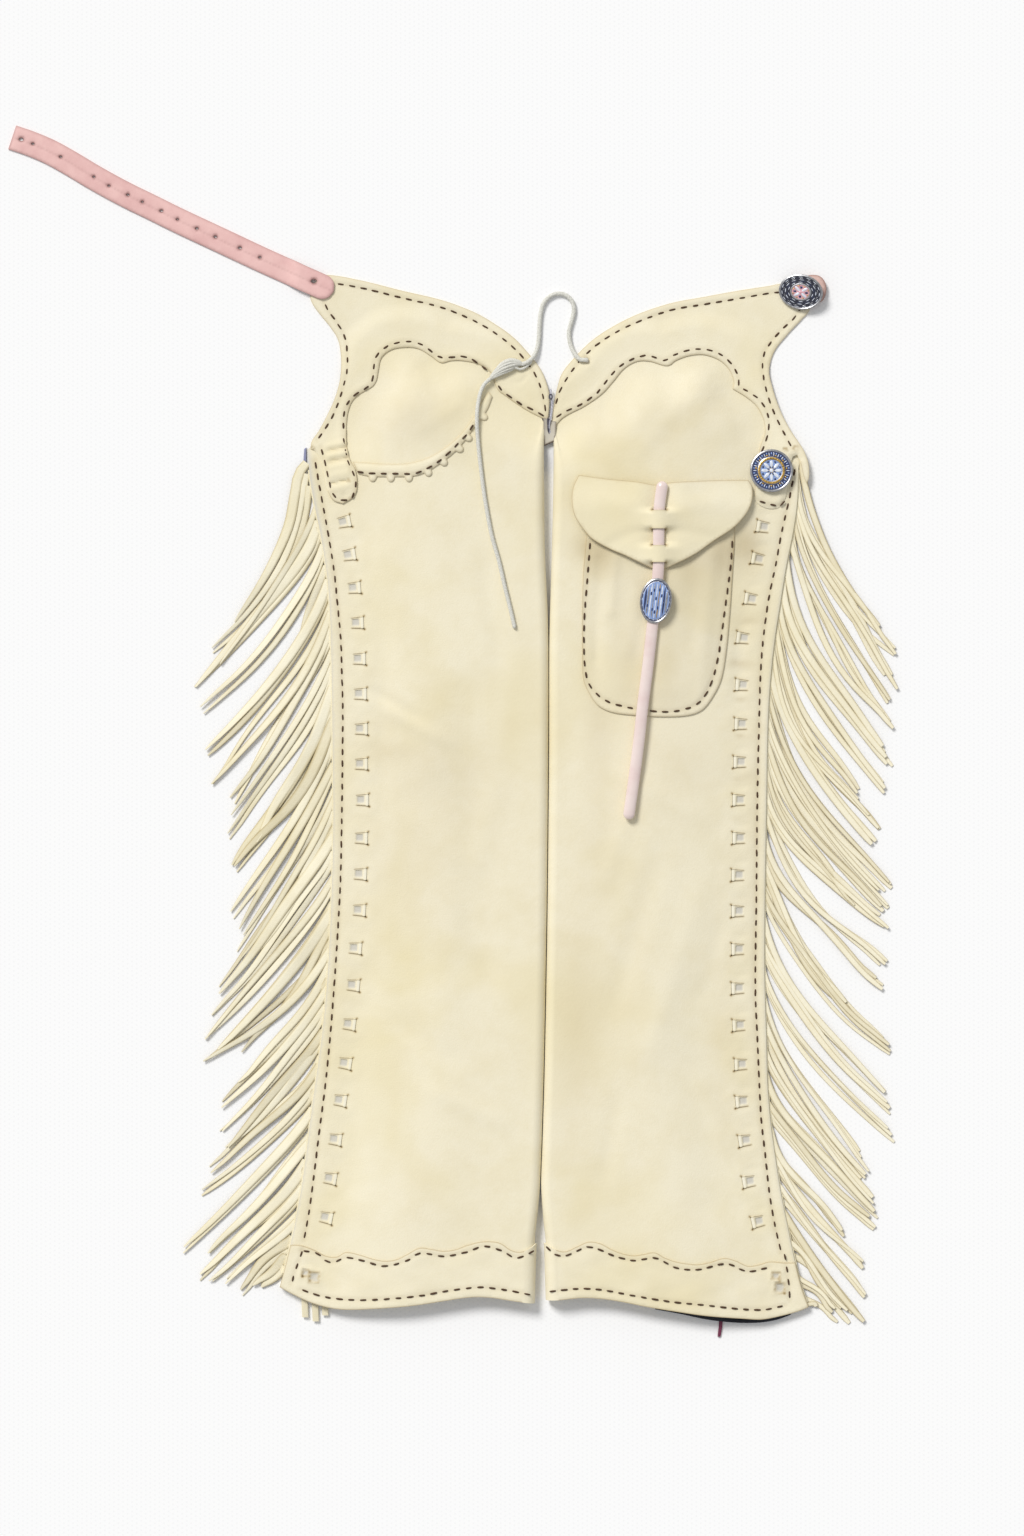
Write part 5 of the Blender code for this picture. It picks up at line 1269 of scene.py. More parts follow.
STRAND_LEADS = {
    "left": [[(307, 463), (299, 474), (295.5, 492), (288, 528), (266, 575), (235, 622)],
             [(307, 474), (303, 492), (296, 525), (281, 565), (250, 610), (212, 648)],
             [(309, 486), (306, 508), (299, 540), (281, 580), (250, 620), (213, 653)]],
    "right": [[(800, 458), (804, 482), (812, 512), (828, 552), (853, 594), (879, 626)],
              [(797, 470), (800, 495), (810, 532), (832, 575), (862, 615), (895, 648)],
              [(796, 486), (799, 510), (808, 545), (828, 585), (858, 625), (894, 655)]]}
STRAND_WIDTHS = {
    "left": [(0.0, 3.4), (0.1, 4.1), (0.35, 4.1), (0.6, 3.4), (0.8, 2.5), (0.93, 1.6), (1.0, 0.6)],
    "right": [(0.0, 2.1), (0.1, 2.6), (0.35, 2.7), (0.6, 2.6), (0.85, 2.3), (0.96, 2.0), (1.0, 1.4)]}
STRAND_LEAN = {"left": 0.44, "right": 0.27}
STRAND_SWAY = {"left": 5.0, "right": 7.5}
LOCK_EXTRA = {"left": 0, "right": 1}        # more strands in each lock of two or three
ROOT_CROWD = {"left": 1.05, "right": 1.17}  # above 1, the roots stand closer at the hip
STRAND_PARTS = 18
STRAND_SIZES = (0.8, 0.92, 1.04, 1.18, 1.38)
STRAND_TONES = (0.8, 0.25, -0.25, -0.25, 0.25, 0.8, 0.8, 0.8)   # dark cut edges, and a painted highlight along the top face below 0, round the section
FRINGE_SEED = {"left": 11, "right": 23}
TIP_SPREADS = (7.0, 6.0, 5.0, -6.0)     # between the tips of a lock's strands
TIP_CUTS = (0.0, 0.0, 3.0, 8.0)         # how much shorter a strand of the right fringe may be
ROOT_SPREAD = 0.62                      # below 1, a lock's roots stand together


def strand_places(root, p1, p2, tip, widths, wave, lead=None):
    """Places along one strand: x, y, the direction across it and half its width."""
    sway, phase = wave
    if lead:
        line = smooth_line(lead, 1.0, corner=120)
        far = np.linspace(0, len(line) - 1, STRAND_PARTS + 1).round().astype(int)
        spots = [np.array(line[k]) for k in far]
    else:
        spots = []
        for k in range(STRAND_PARTS + 1):
            t = k / STRAND_PARTS
            spots.append(root * (1 - t) ** 3 + p1 * 3 * t * (1 - t) ** 2 + p2 * 3 * t * t * (1 - t)
                         + tip * t ** 3)
    ahead = np.gradient(np.array(spots), axis=0)
    ahead /= np.linalg.norm(ahead, axis=1)[:, None]
    places = []
    for k, here in enumerate(spots):
        t = k / STRAND_PARTS
        across = np.array([ahead[k][1], -ahead[k][0]])
        shift = 0.0 if lead else sway * math.sin(phase + 3.6 * t) * math.sin(math.pi * min(t * 1.15, 1))
        here = here + across * shift
        places.append((here[0], here[1], across[0], across[1], float(graph(widths, t))))
    return places


def plan_strands(side, rng):
    """Each strand's tip, bow, place in the order of the roots, and wave."""
    strands = []
    for count, tip_x, tip_y, bow in LOCKS[side.name]:
        count += LOCK_EXTRA[side.name] * (count > 1)
        sway = rng.uniform(-1, 1) * STRAND_SWAY[side.name]
        phase = rng.uniform(0, math.tau)
        centre = len(strands) + count / 2
        for k in range(count):
            turn = k - (count - 1) / 2
            spread = turn * rng.choice(TIP_SPREADS)
            short = rng.choice(TIP_CUTS) * LOCK_EXTRA[side.name]
            strands.append((tip_x + spread * 0.3 + rng.uniform(-2, 2) - short, tip_y + spread - short, bow,
                            centre + turn * ROOT_SPREAD,
                            (sway + rng.uniform(-2.2, 2.2), phase + rng.uniform(-0.9, 0.9))))
    return strands


def seam_strip(side):
    """The narrow strip that the strands are cut from, sewn into the outer seam."""
    out = -side.toward_inner
    rows = np.linspace(*STRIP_Y[side.name], STRIP_ROWS)
    strip_top = STRIP_BOTTOM + STRIP_THICKNESS
    verts = []
    for reach, z in ((-STRIP_INNER, STRIP_BOTTOM), (-STRIP_INNER, strip_top), (STRIP_OUTER, strip_top),
                     (STRIP_OUTER, STRIP_BOTTOM)):
        x = side.outer(rows) + out * reach
        verts.append(place(x, side.bend_row(x, rows), np.full(STRIP_ROWS, z)))
    faces = []
    for c in range(4):
        for r in range(STRIP_ROWS - 1):
            a = c * STRIP_ROWS + r
            b = (c + 1) % 4 * STRIP_ROWS + r
            faces.append((a, a + 1, b + 1, b) if out > 0 else (a, b, b + 1, a + 1))
    for end, turn in ((0, 1), (STRIP_ROWS - 1, -1)):
        faces.append(tuple(c * STRIP_ROWS + end for c in range(4))[::turn * int(out)])
    return np.concatenate(verts), faces


def make_fringe(side, material):
    rng = random.Random(FRINGE_SEED[side.name])
    strands = plan_strands(side, rng)
    top, bottom = STRIP_Y[side.name]
    out = -side.toward_inner
    parts = []
    tones = []
    for k, (tip_x, tip_y, bow, at, wave) in enumerate(strands):
        layer = FRINGE_LAYERS[k % 3]
        middle_y = top + (bottom - top) * (max(at, 0.0) / len(strands)) ** ROOT_CROWD[side.name]
        edge_x = float(side.outer(middle_y)) + out * STRIP_OUTER
        root = np.array([edge_x - out * 2.0, float(side.bend_row(edge_x, middle_y))])
        tip = np.array([tip_x, tip_y], float)
        length = np.linalg.norm(tip - root)
        slope = float(side.outer(middle_y + 20) - side.outer(middle_y - 20)) / 40
        along = np.array([slope + out * (STRAND_LEAN[side.name] + rng.uniform(-0.07, 0.07)), 1.0])
        along /= np.linalg.norm(along)
        p1 = root + along * length * bow
        p2 = tip + (p1 - tip) * 0.4
        p2 = p2 + np.array([out * rng.uniform(-5, 5), rng.uniform(-5, 5)])
        lead = STRAND_LEADS[side.name][k] if k < 3 else None
        size = 1.25 if k == 0 else rng.choice(STRAND_SIZES)
        widths = [(t, half * size) for t, half in STRAND_WIDTHS[side.name]]
        places = strand_places(root, p1, p2, tip, widths, wave, lead)
        roll = rng.uniform(-0.16, 0.16)
        phase = rng.uniform(0, math.tau)
        rolls = []
        low = []
        thick = []
        for t in np.linspace(0, 1, len(places)).tolist():
            low.append(STRIP_BOTTOM + (layer - STRIP_BOTTOM) * ease(t / 0.12))
            thick.append(FRINGE_THICKNESS * (1 - 0.25 * t))
            rolls.append((roll + 0.14 * math.sin(phase + 5 * t)) * ease(t / 0.2))
        parts.append(ribbon(places, low, thick, rolls))
        lift = rng.choice((0.0, 0.05, 0.12, 0.25, 0.4))
        tones += [lift + edge for edge in STRAND_TONES] * len(places)
    parts.append(seam_strip(side))
    tones += [0.1] * len(parts[-1][0])
    if side.name == "left":
        for root_y, turn_x, tip_x, tip_y in TUCKED_STRANDS:
            x0 = float(side.outer(root_y)) + 6
            line = smooth_line([(x0, root_y), (turn_x, root_y + 4),
                                ((turn_x + tip_x) / 2, (root_y + tip_y) / 2 + 6), (tip_x, tip_y)], 6)
            places = [(x, y, -1.0, 0.0, 3.2) for x, y in line]
            count = len(places)
            parts.append(ribbon(places, [STRIP_BOTTOM] * count, [FRINGE_THICKNESS] * count, [0.0] * count))
            tones += [0.2] * len(parts[-1][0])
    obj = join_tubes("fringe_strands_" + side.name, parts, material, tones, sharp=50)
    return stand_in(obj, "fringe_" + side.name)


def make_strap(material):
    """Belt strap on the table, up over the yoke's tip, with a creased middle and punched holes."""
    middle = smooth_line(STRAP_MIDDLE, 2.5)
    half = steps(STRAP_WIDTH) / 2
    halves = []
    for x, y in middle:
        left = math.hypot(x - middle[-1][0], y - middle[-1][1])
        halves.append(half * math.sqrt(max(0.0, 1 - max(0.0, 1 - left / half) ** 2)))
    halves[-1] = half * 0.06
    outline = moved(middle, halves) + moved(middle, [-size for size in halves])[::-1]
    holes = []
    for x, y, radius in STRAP_HOLES:
        reach = steps(radius)
        holes.append([(x + reach * 1.25 * math.cos(math.tau * k / 12),
                       y + reach * 0.8 * math.sin(math.tau * k / 12)) for k in range(12)])

    def low(x, y):
        return (LEATHER + 2 * GAP) * ease((x - 284) / 16)

    def relief(x, y, rim):
        return 0.35 * ease(rim / 4) - 0.2 * bump(distance(x, y, middle), 1.0) - 0.3

    def tone(x, y, rim):
        found = 0.12 * bump(rim, 2.2) + 0.22 * bump(distance(x, y, middle), 0.8)
        for hx, hy, radius in STRAP_HOLES:
            found = found + 0.6 * bump(np.hypot(x - hx, y - hy) - steps(radius), 0.8)
        return found

    obj = panel("strap_leather", outline, low, STRAP_THICKNESS, material, holes=holes, spacing=2.2,
                relief=relief, tone=tone, edge=0.9, drop=0.4, edge_tone=0.35)
    return stand_in(obj, "belt_strap_left")


def make_stub(material):
    outline = smooth_line([(800, 279), (810, 275.5), (820, 277), (825.5, 285), (825, 296),
                           (820, 302.5), (806, 303)], 1.5, closed=True)
    thick = 2 * STRAP_THICKNESS - 0.6
    obj = panel("stub_leather", outline, lambda x, y: np.full(x.shape, LEATHER + GAP), thick,
                material, spacing=2.0, drop=0.9,
                relief=lambda x, y, rim: 0.4 * ease(rim / 4) - 0.4,
                tone=lambda x, y, rim: 0.5 * bump(rim, 1.5))
    return stand_in(obj, "belt_stub_right")


def trees_of(objects):
    found = []
    for obj in objects:
        mesh = obj.data
        count = len(mesh.vertices)
        spots = np.empty(count * 3, np.float32)
        mesh.vertices.foreach_get("co", spots)
        polys = [tuple(poly.vertices) for poly in mesh.polygons]
        found.append(BVHTree.FromPolygons([Vector(spot) for spot in spots.reshape(-1, 3)], polys))
    return found


def height_on(trees, x, y, radius):
    """Height in mm of the highest surface under a disc round a layout point."""
    middle = Vector(place(x, y, 200.0))
    starts = [middle]
    for k in range(8):
        turn = math.tau * k / 8
        starts.append(middle + Vector((math.cos(turn), math.sin(turn), 0)) * radius * MM)
    hits = [tree.ray_cast(start, Vector((0, 0, -1)))[0] for start in starts for tree in trees]
    return max([0.0] + [hit.z / MM for hit in hits if hit])


def cord_path(route, trees, radius):
    """Model points of a cord that lies on what is under it."""
    line = smooth_line(route, 1.2)
    heights = [height_on(trees, x, y, radius) for x, y in line]
    eased = [max(heights[max(k - 4, 0):k + 5]) for k in range(len(line))]
    for _ in range(6):
        eased = [max(heights[k], float(np.mean(eased[max(k - 3, 0):k + 4]))) for k in range(len(line))]
    return [place(x, y, eased[k] + radius + 0.1) for k, (x, y) in enumerate(line)]


def three_ply(turns):
    return 0.80 + 0.20 * np.abs(np.cos(1.5 * turns))


def make_laces(trees, material):
    radius = LACE_DIAMETER / 2
    twist = math.tau / 0.011
    ply = {"profile": three_ply, "twist": twist}
    lace_line = cord_path(LACE_ROUTE, trees, radius)
    tail_line = cord_path(LACE_TAIL, trees, radius)
    lace = tube_piece("lace_cord_loop", lace_line, radius * MM, material, sides=18, **ply)
    tail = tube_piece("lace_cord_tail", tail_line, radius * MM * 0.92, material, sides=18, **ply)
    line = smooth_line([(522.5, 364.6), (517.5, 363.4), (511, 364.6), (504, 368.4), (498, 373.0),
                        (493.6, 376.6), (490.0, 379.6)], 0.7)
    bulge = [(0.0, 0.4), (0.14, 2.4), (0.3, 4.6), (0.5, 4.6), (0.7, 3.2), (0.88, 1.5), (1.0, 0.3)]
    parts = []
    heights = [height_on(trees, x, y, 3.0) for x, y in line]
    for strand in range(6):
        shifts = []
        lifts = []
        for k, height in enumerate(heights):
            t = k / (len(line) - 1)
            turn = math.pi * (strand + 0.5) / 6 + 1.1 * (t - 0.4)
            reach = float(graph(bulge, t))
            shifts.append(steps(reach * math.cos(turn)))
            lifts.append(height + radius * 0.75 + 0.75 * reach * max(math.sin(turn), -0.3) + 0.3)
        centres = [place(x, y, z) for (x, y), z in zip(moved(line, shifts), lifts)]
        parts.append(tube(centres, radius * (0.56 if strand % 2 else 0.66) * MM, sides=10))
    centres = []
    for x, y, lift in smooth_line([(531, 362.5, 0.3), (525.5, 367.6, 0.2), (520.5, 369.6, 0.4),
                                   (515.5, 368.4, 1.6)], 0.8):
        centres.append(place(x, y, height_on(trees, x, y, 1.5) + radius * 0.7 + lift))
    parts.append(tube(centres, radius * 0.62 * MM, sides=12, **ply))
    knot = join_tubes("lace_knot_cord", parts, material)
    for piece, node in ((lace, "lace"), (tail, "lace_tail"), (knot, "lace_knot")):
        stand_in(piece, node)


def make_link(material, dark):
    line = smooth_line([(550.8, 390, 3.6), (550.9, 396, 6.0), (552.0, 402, 5.4), (551.4, 412, 5.2),
                        (550.2, 420, 5.6), (549.0, 427, 4.6), (550.0, 433, 3.4)], 0.8)
    cord = tube([place(x, y, z + 0.4) for x, y, z in line], 0.85 * MM, sides=12, profile=three_ply,
                twist=math.tau / 0.006)
    parts = []
    for lean in (-1, 1):
        centres = []
        for k in range(26):
            turn = math.tau * k / 25 * 1.6
            centres.append(place(550.6 + 1.5 * math.cos(turn) * lean, 397.2 + 2.4 * math.sin(turn),
                                 6.9 + 0.5 * math.sin(2 * turn + lean)))
        parts.append(tube(centres, 0.62 * MM, sides=8))
    for points in ([(547.8, 418.5, 5.4), (547.6, 424, 5.0), (549.2, 430, 4.2), (550.4, 433.5, 3.0)],
                   [(550.6, 417.5, 5.4), (548.4, 423, 5.6), (547.9, 429, 4.6), (549.4, 435, 3.2)]):
        centres = [place(x, y, z + 0.5) for x, y, z in smooth_line(points, 0.8)]
        parts.append(tube(centres, 0.6 * MM, sides=8))
    wrap = join_tubes("crotch_link_wrap", parts, dark)
    stand_in(join_tubes("crotch_link_cord", [cord], material), "crotch_link")


def make_gusset(material):
    """Scrap of leather that closes the fork between the legs, under the link, painted grey-beige as painted
    shade and darkened along its lower edge as painted shadow.
    """
    outline = smooth_line([(543.5, 418), (556, 422), (555.5, 441.2), (543.5, 446.6)], 0.8, closed=True,
                          corner=40)
    panel("shaded_fork_leather", outline, lambda x, y: 3.2 + 1.2 * np.abs((x - 549.5) / 6) ** 2, 1.2,
          material, spacing=1.2, edge=0.6, tone=lambda x, y, rim: 0.9 * bump(rim, 1.4) * (y > 436))


def make_small(facing, burgundy, binding):
    outline = smooth_line([(655, 1300), (791, 1302), (790.5, 1314.5), (776, 1319.6), (757, 1322.4),
                           (734, 1322.2), (707, 1319.2), (680, 1313.6), (655, 1309)], 2.0, closed=True)
    piece = panel("hem_facing_cloth", outline, lambda x, y: np.full(x.shape, LEATHER + GAP), 1.2,
                  facing, spacing=2.2)
    stand_in(piece, "hem_facing_right")
    line = [(721.5, 1317.3, 1, 0, 1.7), (720.8, 1322, 1, 0, 1.9), (720.4, 1327, 1, 0, 1.8),
            (719.6, 1332, 1, 0, 1.7), (719.0, 1336.5, 1, 0, 1.5)]
    verts, faces = ribbon(line, [0.3] * 5, [1.6] * 5, [0.0, 0.1, 0.25, 0.1, -0.1])
    piece = add_piece("hem_thong_end", verts, faces, burgundy, sharp=50)
    stand_in(piece, "hem_thong")
    outline = smooth_line([(304.3, 449), (306.5, 447.6), (306.5, 462.5), (303.4, 462)], 1.0,
                          closed=True)
    piece = panel("hip_binding_cloth", outline, lambda x, y: np.full(x.shape, 0.3), 1.6, binding,
                  spacing=1.2, edge=0.5)
    stand_in(piece, "hip_binding_left")


def stitch_shape():
    """One stitch as a rounded bar along X, one step long, one step wide and one high."""
    bpy.ops.mesh.primitive_uv_sphere_add(segments=8, ring_count=6, radius=0.5)
    obj = bpy.context.object
    spots = np.array([tuple(vert.co) for vert in obj.data.vertices])
    spots = np.stack([spots[:, 2], spots[:, 0], spots[:, 1]], axis=1)
    spots[:, 0] = np.sign(spots[:, 0]) * np.abs(spots[:, 0] * 2) ** 0.6 / 2
    faces = [tuple(poly.vertices)[::-1] for poly in obj.data.polygons]
    mesh = obj.data
    bpy.data.objects.remove(obj)
    bpy.data.meshes.remove(mesh)
    return spots, faces


STITCH_PITCH = 11.6
STITCH_LENGTH = 6.9
STITCH_WIDTH = 1.95


def make_stitches(name, lines, top, material, seed):
    """Running stitches along layout lines, seated on a height function."""
    rng = random.Random(seed)
    spots, faces = stitch_shape()
    verts = []
    whole = []
    for line in lines:
        middles, ahead = even_points(line, STITCH_PITCH)
        for (x, y), (ax, ay) in zip(middles, ahead):
            turn = rng.uniform(-0.06, 0.06)
            ax, ay = ax - ay * turn, ay + ax * turn
            length = STITCH_LENGTH * rng.uniform(0.88, 1.1)
            u = spots[:, 0] * length
            v = spots[:, 1] * STITCH_WIDTH * rng.uniform(0.9, 1.1)
            reach = np.array([-0.3, 0.0, 0.3]) * length
            base = top(x + ax * reach, y + ay * reach)
            z = base[1] + (base[2] - base[0]) / 0.6 * spots[:, 0] + spots[:, 2] * 1.3 + 0.25
            z = z - 0.55 * np.clip(spots[:, 0] * 2, -1, 1) ** 4
            first = len(verts) * len(spots)
            whole += [tuple(first + corner for corner in face) for face in faces]
            verts.append(place(x + ax * u - ay * v, y + ay * u + ax * v, z))
    return add_piece(name, np.concatenate(verts), whole, material, sharp=0)


def clear_selection():
    for obj in bpy.context.selected_objects:
        obj.select_set(False)


PLATE_EDGE = 1.5    # height of a concho's plate at its edge, mm
PLATE_RIM = [(0.02, 0.35), (0.035, 0.2), (0.03, -0.3), (0.01, -0.1)]


def turned_disc(rings):
    """A round plate of radius 1: each ring is how far it is inset and how far it is raised."""
    clear_selection()
    bpy.ops.mesh.primitive_circle_add(vertices=64, radius=1.0, fill_type="NGON")
    disc = bpy.context.object
    bpy.ops.object.mode_set(mode="EDIT")
    bpy.ops.mesh.select_all(action="SELECT")
    bpy.ops.mesh.extrude_region_move(TRANSFORM_OT_translate={"value": (0, 0, PLATE_EDGE)})
    for inset, rise in PLATE_RIM + rings:
        bpy.ops.mesh.inset(thickness=inset, depth=0.0)
        bpy.ops.transform.translate(value=(0, 0, rise))
    bpy.ops.mesh.select_all(action="SELECT")
    bpy.ops.mesh.normals_make_consistent(inside=False)
    bpy.ops.object.mode_set(mode="OBJECT")
    return disc


def bead(at, turn, size, material, segments=10):
    """A bead at a place of the plate: size is its reach along x, y and z before it is turned."""
    clear_selection()
    bpy.ops.mesh.primitive_uv_sphere_add(segments=segments, ring_count=6, radius=1.0)
    obj = bpy.context.object
    obj.data.transform(Matrix.Translation(at) @ Matrix.Rotation(turn, 4, "Z")
                       @ Matrix.Diagonal((*size, 1.0)))
    obj.data.materials.append(material)
    return obj


def ring_of(count, radius, height, size, material, offset=0.0):
    made = []
    for k in range(count):
        turn = math.tau * (k + offset) / count
        at = (radius * math.cos(turn), radius * math.sin(turn), height)
        made.append(bead(at, turn, size, material))
    return made


def seat_concho(name, node_name, disc, parts, length, width, turn):
    """Joins a concho's parts, gives it its size and lays it where its solid is."""
    clear_selection()
    for obj in parts + [disc]:
        obj.select_set(True)
    bpy.context.view_layer.objects.active = disc
    bpy.ops.object.join()
    disc.name = name
    disc.data.name = name
    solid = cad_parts[node_name]
    spots = np.array([tuple(vert.co) for vert in solid.data.vertices])
    flat = np.column_stack([spots[:, 0], spots[:, 1], np.ones(len(spots))])
    slope = np.linalg.lstsq(flat, spots[:, 2], rcond=None)[0]
    base = float((spots[:, 2] - flat @ slope).min())
    low = spots[:, :2].min(axis=0)
    high = spots[:, :2].max(axis=0)
    cx, cy = (low + high) / 2
    normal = Vector((-slope[0], -slope[1], 1.0)).normalized()
    along = Vector((math.cos(turn), -math.sin(turn), 0.0))
    along = (along - normal * along.dot(normal)).normalized()
    across = normal.cross(along)
    seat = Vector((cx, cy, slope[0] * cx + slope[1] * cy + slope[2] + base))
    to_place = Matrix.Translation(seat) @ Matrix((
        (along.x, across.x, normal.x, 0), (along.y, across.y, normal.y, 0),
        (along.z, across.z, normal.z, 0), (0, 0, 0, 1)))
    disc.data.transform(to_place @ Matrix.Diagonal((length / 2 * MM, width / 2 * MM, MM, 1.0)))
    clear_selection()
    disc.select_set(True)
    bpy.ops.object.shade_smooth_by_angle(angle=math.radians(38))
    disc.select_set(False)
    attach(disc, "root")
    stand_in(disc, node_name)


def paint_disc(disc, bands):
    """Gives the disc's faces the material of the band of radius that they lie in."""
    for reach, material in bands:
        disc.data.materials.append(material)
    for poly in disc.data.polygons:
        away = math.hypot(poly.center.x, poly.center.y)
        if abs(poly.normal.z) < 0.3 or poly.normal.z < 0:
            poly.material_index = 0
            continue
        for k, (reach, _) in enumerate(bands):
            if away <= reach:
                poly.material_index = k


# Each concho's rings of beads: how many, radius, height, size, finish, and turn as a share of the pitch
HIP_RINGS = [  # pale marks in a dark ring, a gold rope and a pearl rosette
    (22, 0.77, 1.9, (0.085, 0.022, 0.3), "pearl", 0),
    (22, 0.81, 1.85, (0.05, 0.03, 0.26), "sky", 0.5),
    (11, 0.72, 1.9, (0.035, 0.05, 0.28), "gold", 0.25),
    (30, 0.585, 2.25, (0.05, 0.026, 0.35), "gold", 0),
    (8, 0.31, 2.5, (0.17, 0.075, 0.35), "pearl", 0),
    (8, 0.43, 2.35, (0.045, 0.05, 0.35), "navy", 0.5),
    (8, 0.17, 2.65, (0.05, 0.035, 0.3), "navy", 0.5),
    (6, 0.1, 2.95, (0.02, 0.03, 0.12), "gold", 0),
]
BELT_RINGS = [  # a black field with pale waved lines and a rose centre
    (15, 0.85, 1.8, (0.018, 0.11, 0.25), "pearl", 0),
    (13, 0.77, 1.85, (0.016, 0.10, 0.27), "silver", 0.4),
    (12, 0.69, 1.95, (0.018, 0.12, 0.28), "pearl", 0.1),
    (10, 0.61, 2.0, (0.016, 0.10, 0.28), "navy", 0.5),
    (10, 0.55, 2.05, (0.018, 0.10, 0.28), "pearl", 0.7),
    (4, 0.22, 2.45, (0.17, 0.07, 0.35), "pearl", 0.5),
    (4, 0.26, 2.4, (0.08, 0.06, 0.34), "navy", 0),
    (8, 0.36, 2.3, (0.03, 0.05, 0.28), "gold", 0.5),
]
OVAL_RINGS = [(20, 0.85, 1.8, (0.02, 0.05, 0.22), "pearl", 0)]
OVAL_RIBS = ("navy", "silver", "pearl", "silver", "pearl", "gold", "pearl", "navy", "silver")
OVAL_STUDS = [(-3, 0.25), (-2, -0.3), (-1, 0.4), (0, -0.1), (1, 0.3), (2, -0.25), (3, 0.1), (-1, -0.45),
              (0, 0.5), (1, -0.5)]     # rib, place along it
RIB_PITCH = 0.165


def make_concho(name, node_name, size, turn, rings, fields, bead_rings, beads):
    """A concho of two diameters in mm: its turned plate, painted fields and beads."""
    disc = turned_disc(rings)
    paint_disc(disc, [(reach, METALS[finish]) for reach, finish in fields])
    for count, radius, height, reach, finish, offset in bead_rings:
        beads = beads + ring_of(count, radius, height, reach, METALS[finish], offset)
    seat_concho(name, node_name, disc, beads, *size, turn)


def make_conchos():
    make_concho("concho_hip_plate", "concho_hip", (38.5, 38.5), 0.0,
                [(0.255, 0.15), (0.02, 0.3), (0.1, 0.05), (0.03, -0.25), (0.28, 0.35), (0.1, 0.1)],
                [(1.1, "silver"), (0.92, "navy"), (0.655, "gold"), (0.51, "sky")], HIP_RINGS,
                [bead((0, 0, 2.65), 0, (0.09, 0.09, 0.42), METALS["pearl"], 16)])
    make_concho("concho_belt_plate", "concho_belt", (40.0, 31.5), math.radians(8),
                [(0.42, 0.45), (0.02, 0.2), (0.04, 0.05), (0.02, -0.15), (0.25, 0.3), (0.06, 0.1)],
                [(1.1, "silver"), (0.92, "black"), (0.49, "silver"), (0.43, "rose")], BELT_RINGS,
                [bead((0, 0, 2.5), 0, (0.10, 0.08, 0.4), METALS["rose"], 16)])
    ribs = []
    for row, finish in enumerate(OVAL_RIBS, -4):
        half = 0.80 * math.sqrt(1 - (row / 5.0) ** 2)
        ribs.append(bead((0, row * RIB_PITCH, 2.05), 0, (half, 0.075, 0.5), METALS[finish], 14))
    for row, along in OVAL_STUDS:
        ribs.append(bead((along, row * RIB_PITCH, 2.5), 0, (0.09, 0.05, 0.2), METALS["navy"]))
    make_concho("concho_oval_plate", "concho_oval", (40.5, 28.5), math.radians(97),
                [(0.05, 0.15), (0.02, 0.2), (0.4, 0.4), (0.2, 0.1)],
                [(1.1, "silver"), (0.94, "navy"), (0.84, "sky")], OVAL_RINGS, ribs)


def node_tree(name, roughness, **settings):
    material = bpy.data.materials.new(name)
    material.use_nodes = True
    tree = material.node_tree
    shader = tree.nodes["Principled BSDF"]
    shader.inputs["Roughness"].default_value = roughness
    for key, value in settings.items():
        shader.inputs[key.replace("_", " ")].default_value = value
    coords = tree.nodes.new("ShaderNodeTexCoord")
    return material, tree, shader, coords.outputs["Object"]


def noise(tree, vector, scale, detail, roughness, distortion=0.0):
    node = tree.nodes.new("ShaderNodeTexNoise")
    for key, value in (("Vector", vector), ("Scale", scale), ("Detail", detail), ("Roughness", roughness),
                       ("Distortion", distortion)):
        feed(tree, node.inputs[key], value)
    return node.outputs["Fac"]


def ramp(tree, value, stops):
    node = tree.nodes.new("ShaderNodeValToRGB")
    elements = node.color_ramp.elements
    while len(elements) < len(stops):
        elements.new(0.5)
    for element, (at, colour) in zip(elements, stops):
        element.position = at
        element.color = (*colour, 1.0)
    tree.links.new(value, node.inputs["Fac"])
    return node.outputs["Color"]


def feed(tree, socket, value):
    """Links an output to a socket, or gives the socket a number or a colour."""
    if isinstance(value, (int, float)):
        socket.default_value = value
    elif isinstance(value, tuple):
        socket.default_value = (*value, 1.0)
    else:
        tree.links.new(value, socket)


def mix(tree, share, a, b):
    node = tree.nodes.new("ShaderNodeMix")
    node.data_type = "RGBA"
    for k, value in ((0, share), (6, a), (7, b)):
        feed(tree, node.inputs[k], value)
    return node.outputs[2]


def stretch(tree, value, low, high, to_low, to_high):
    node = tree.nodes.new("ShaderNodeMapRange")
    for key, given in (("Value", value), ("From Min", low), ("From Max", high), ("To Min", to_low),
                       ("To Max", to_high)):
        feed(tree, node.inputs[key], given)
    return node.outputs["Result"]


def painted(tree, key):
    node = tree.nodes.new("ShaderNodeAttribute")
    node.attribute_name = key
    return node.outputs["Fac"]


def raise_bump(tree, shader, layers):
    """Bump from (height, strength, distance in metres) layers, coarse to fine."""
    before = None
    for height, strength, reach in layers:
        node = tree.nodes.new("ShaderNodeBump")
        node.inputs["Strength"].default_value = strength
        node.inputs["Distance"].default_value = reach
        tree.links.new(height, node.inputs["Height"])
        if before:
            tree.links.new(before, node.inputs["Normal"])
        before = node.outputs["Normal"]
    tree.links.new(before, shader.inputs["Normal"])


# painted shade: the grey that a piece's pale attribute mixes in
SHADE_GREY = (0.56, 0.55, 0.52)
# painted highlight: the colour that a piece's tone below 0 lightens to
PAINTED_HIGHLIGHT = (0.95, 0.92, 0.80)
CUT_EDGE = (0.09, 0.05, 0.02)


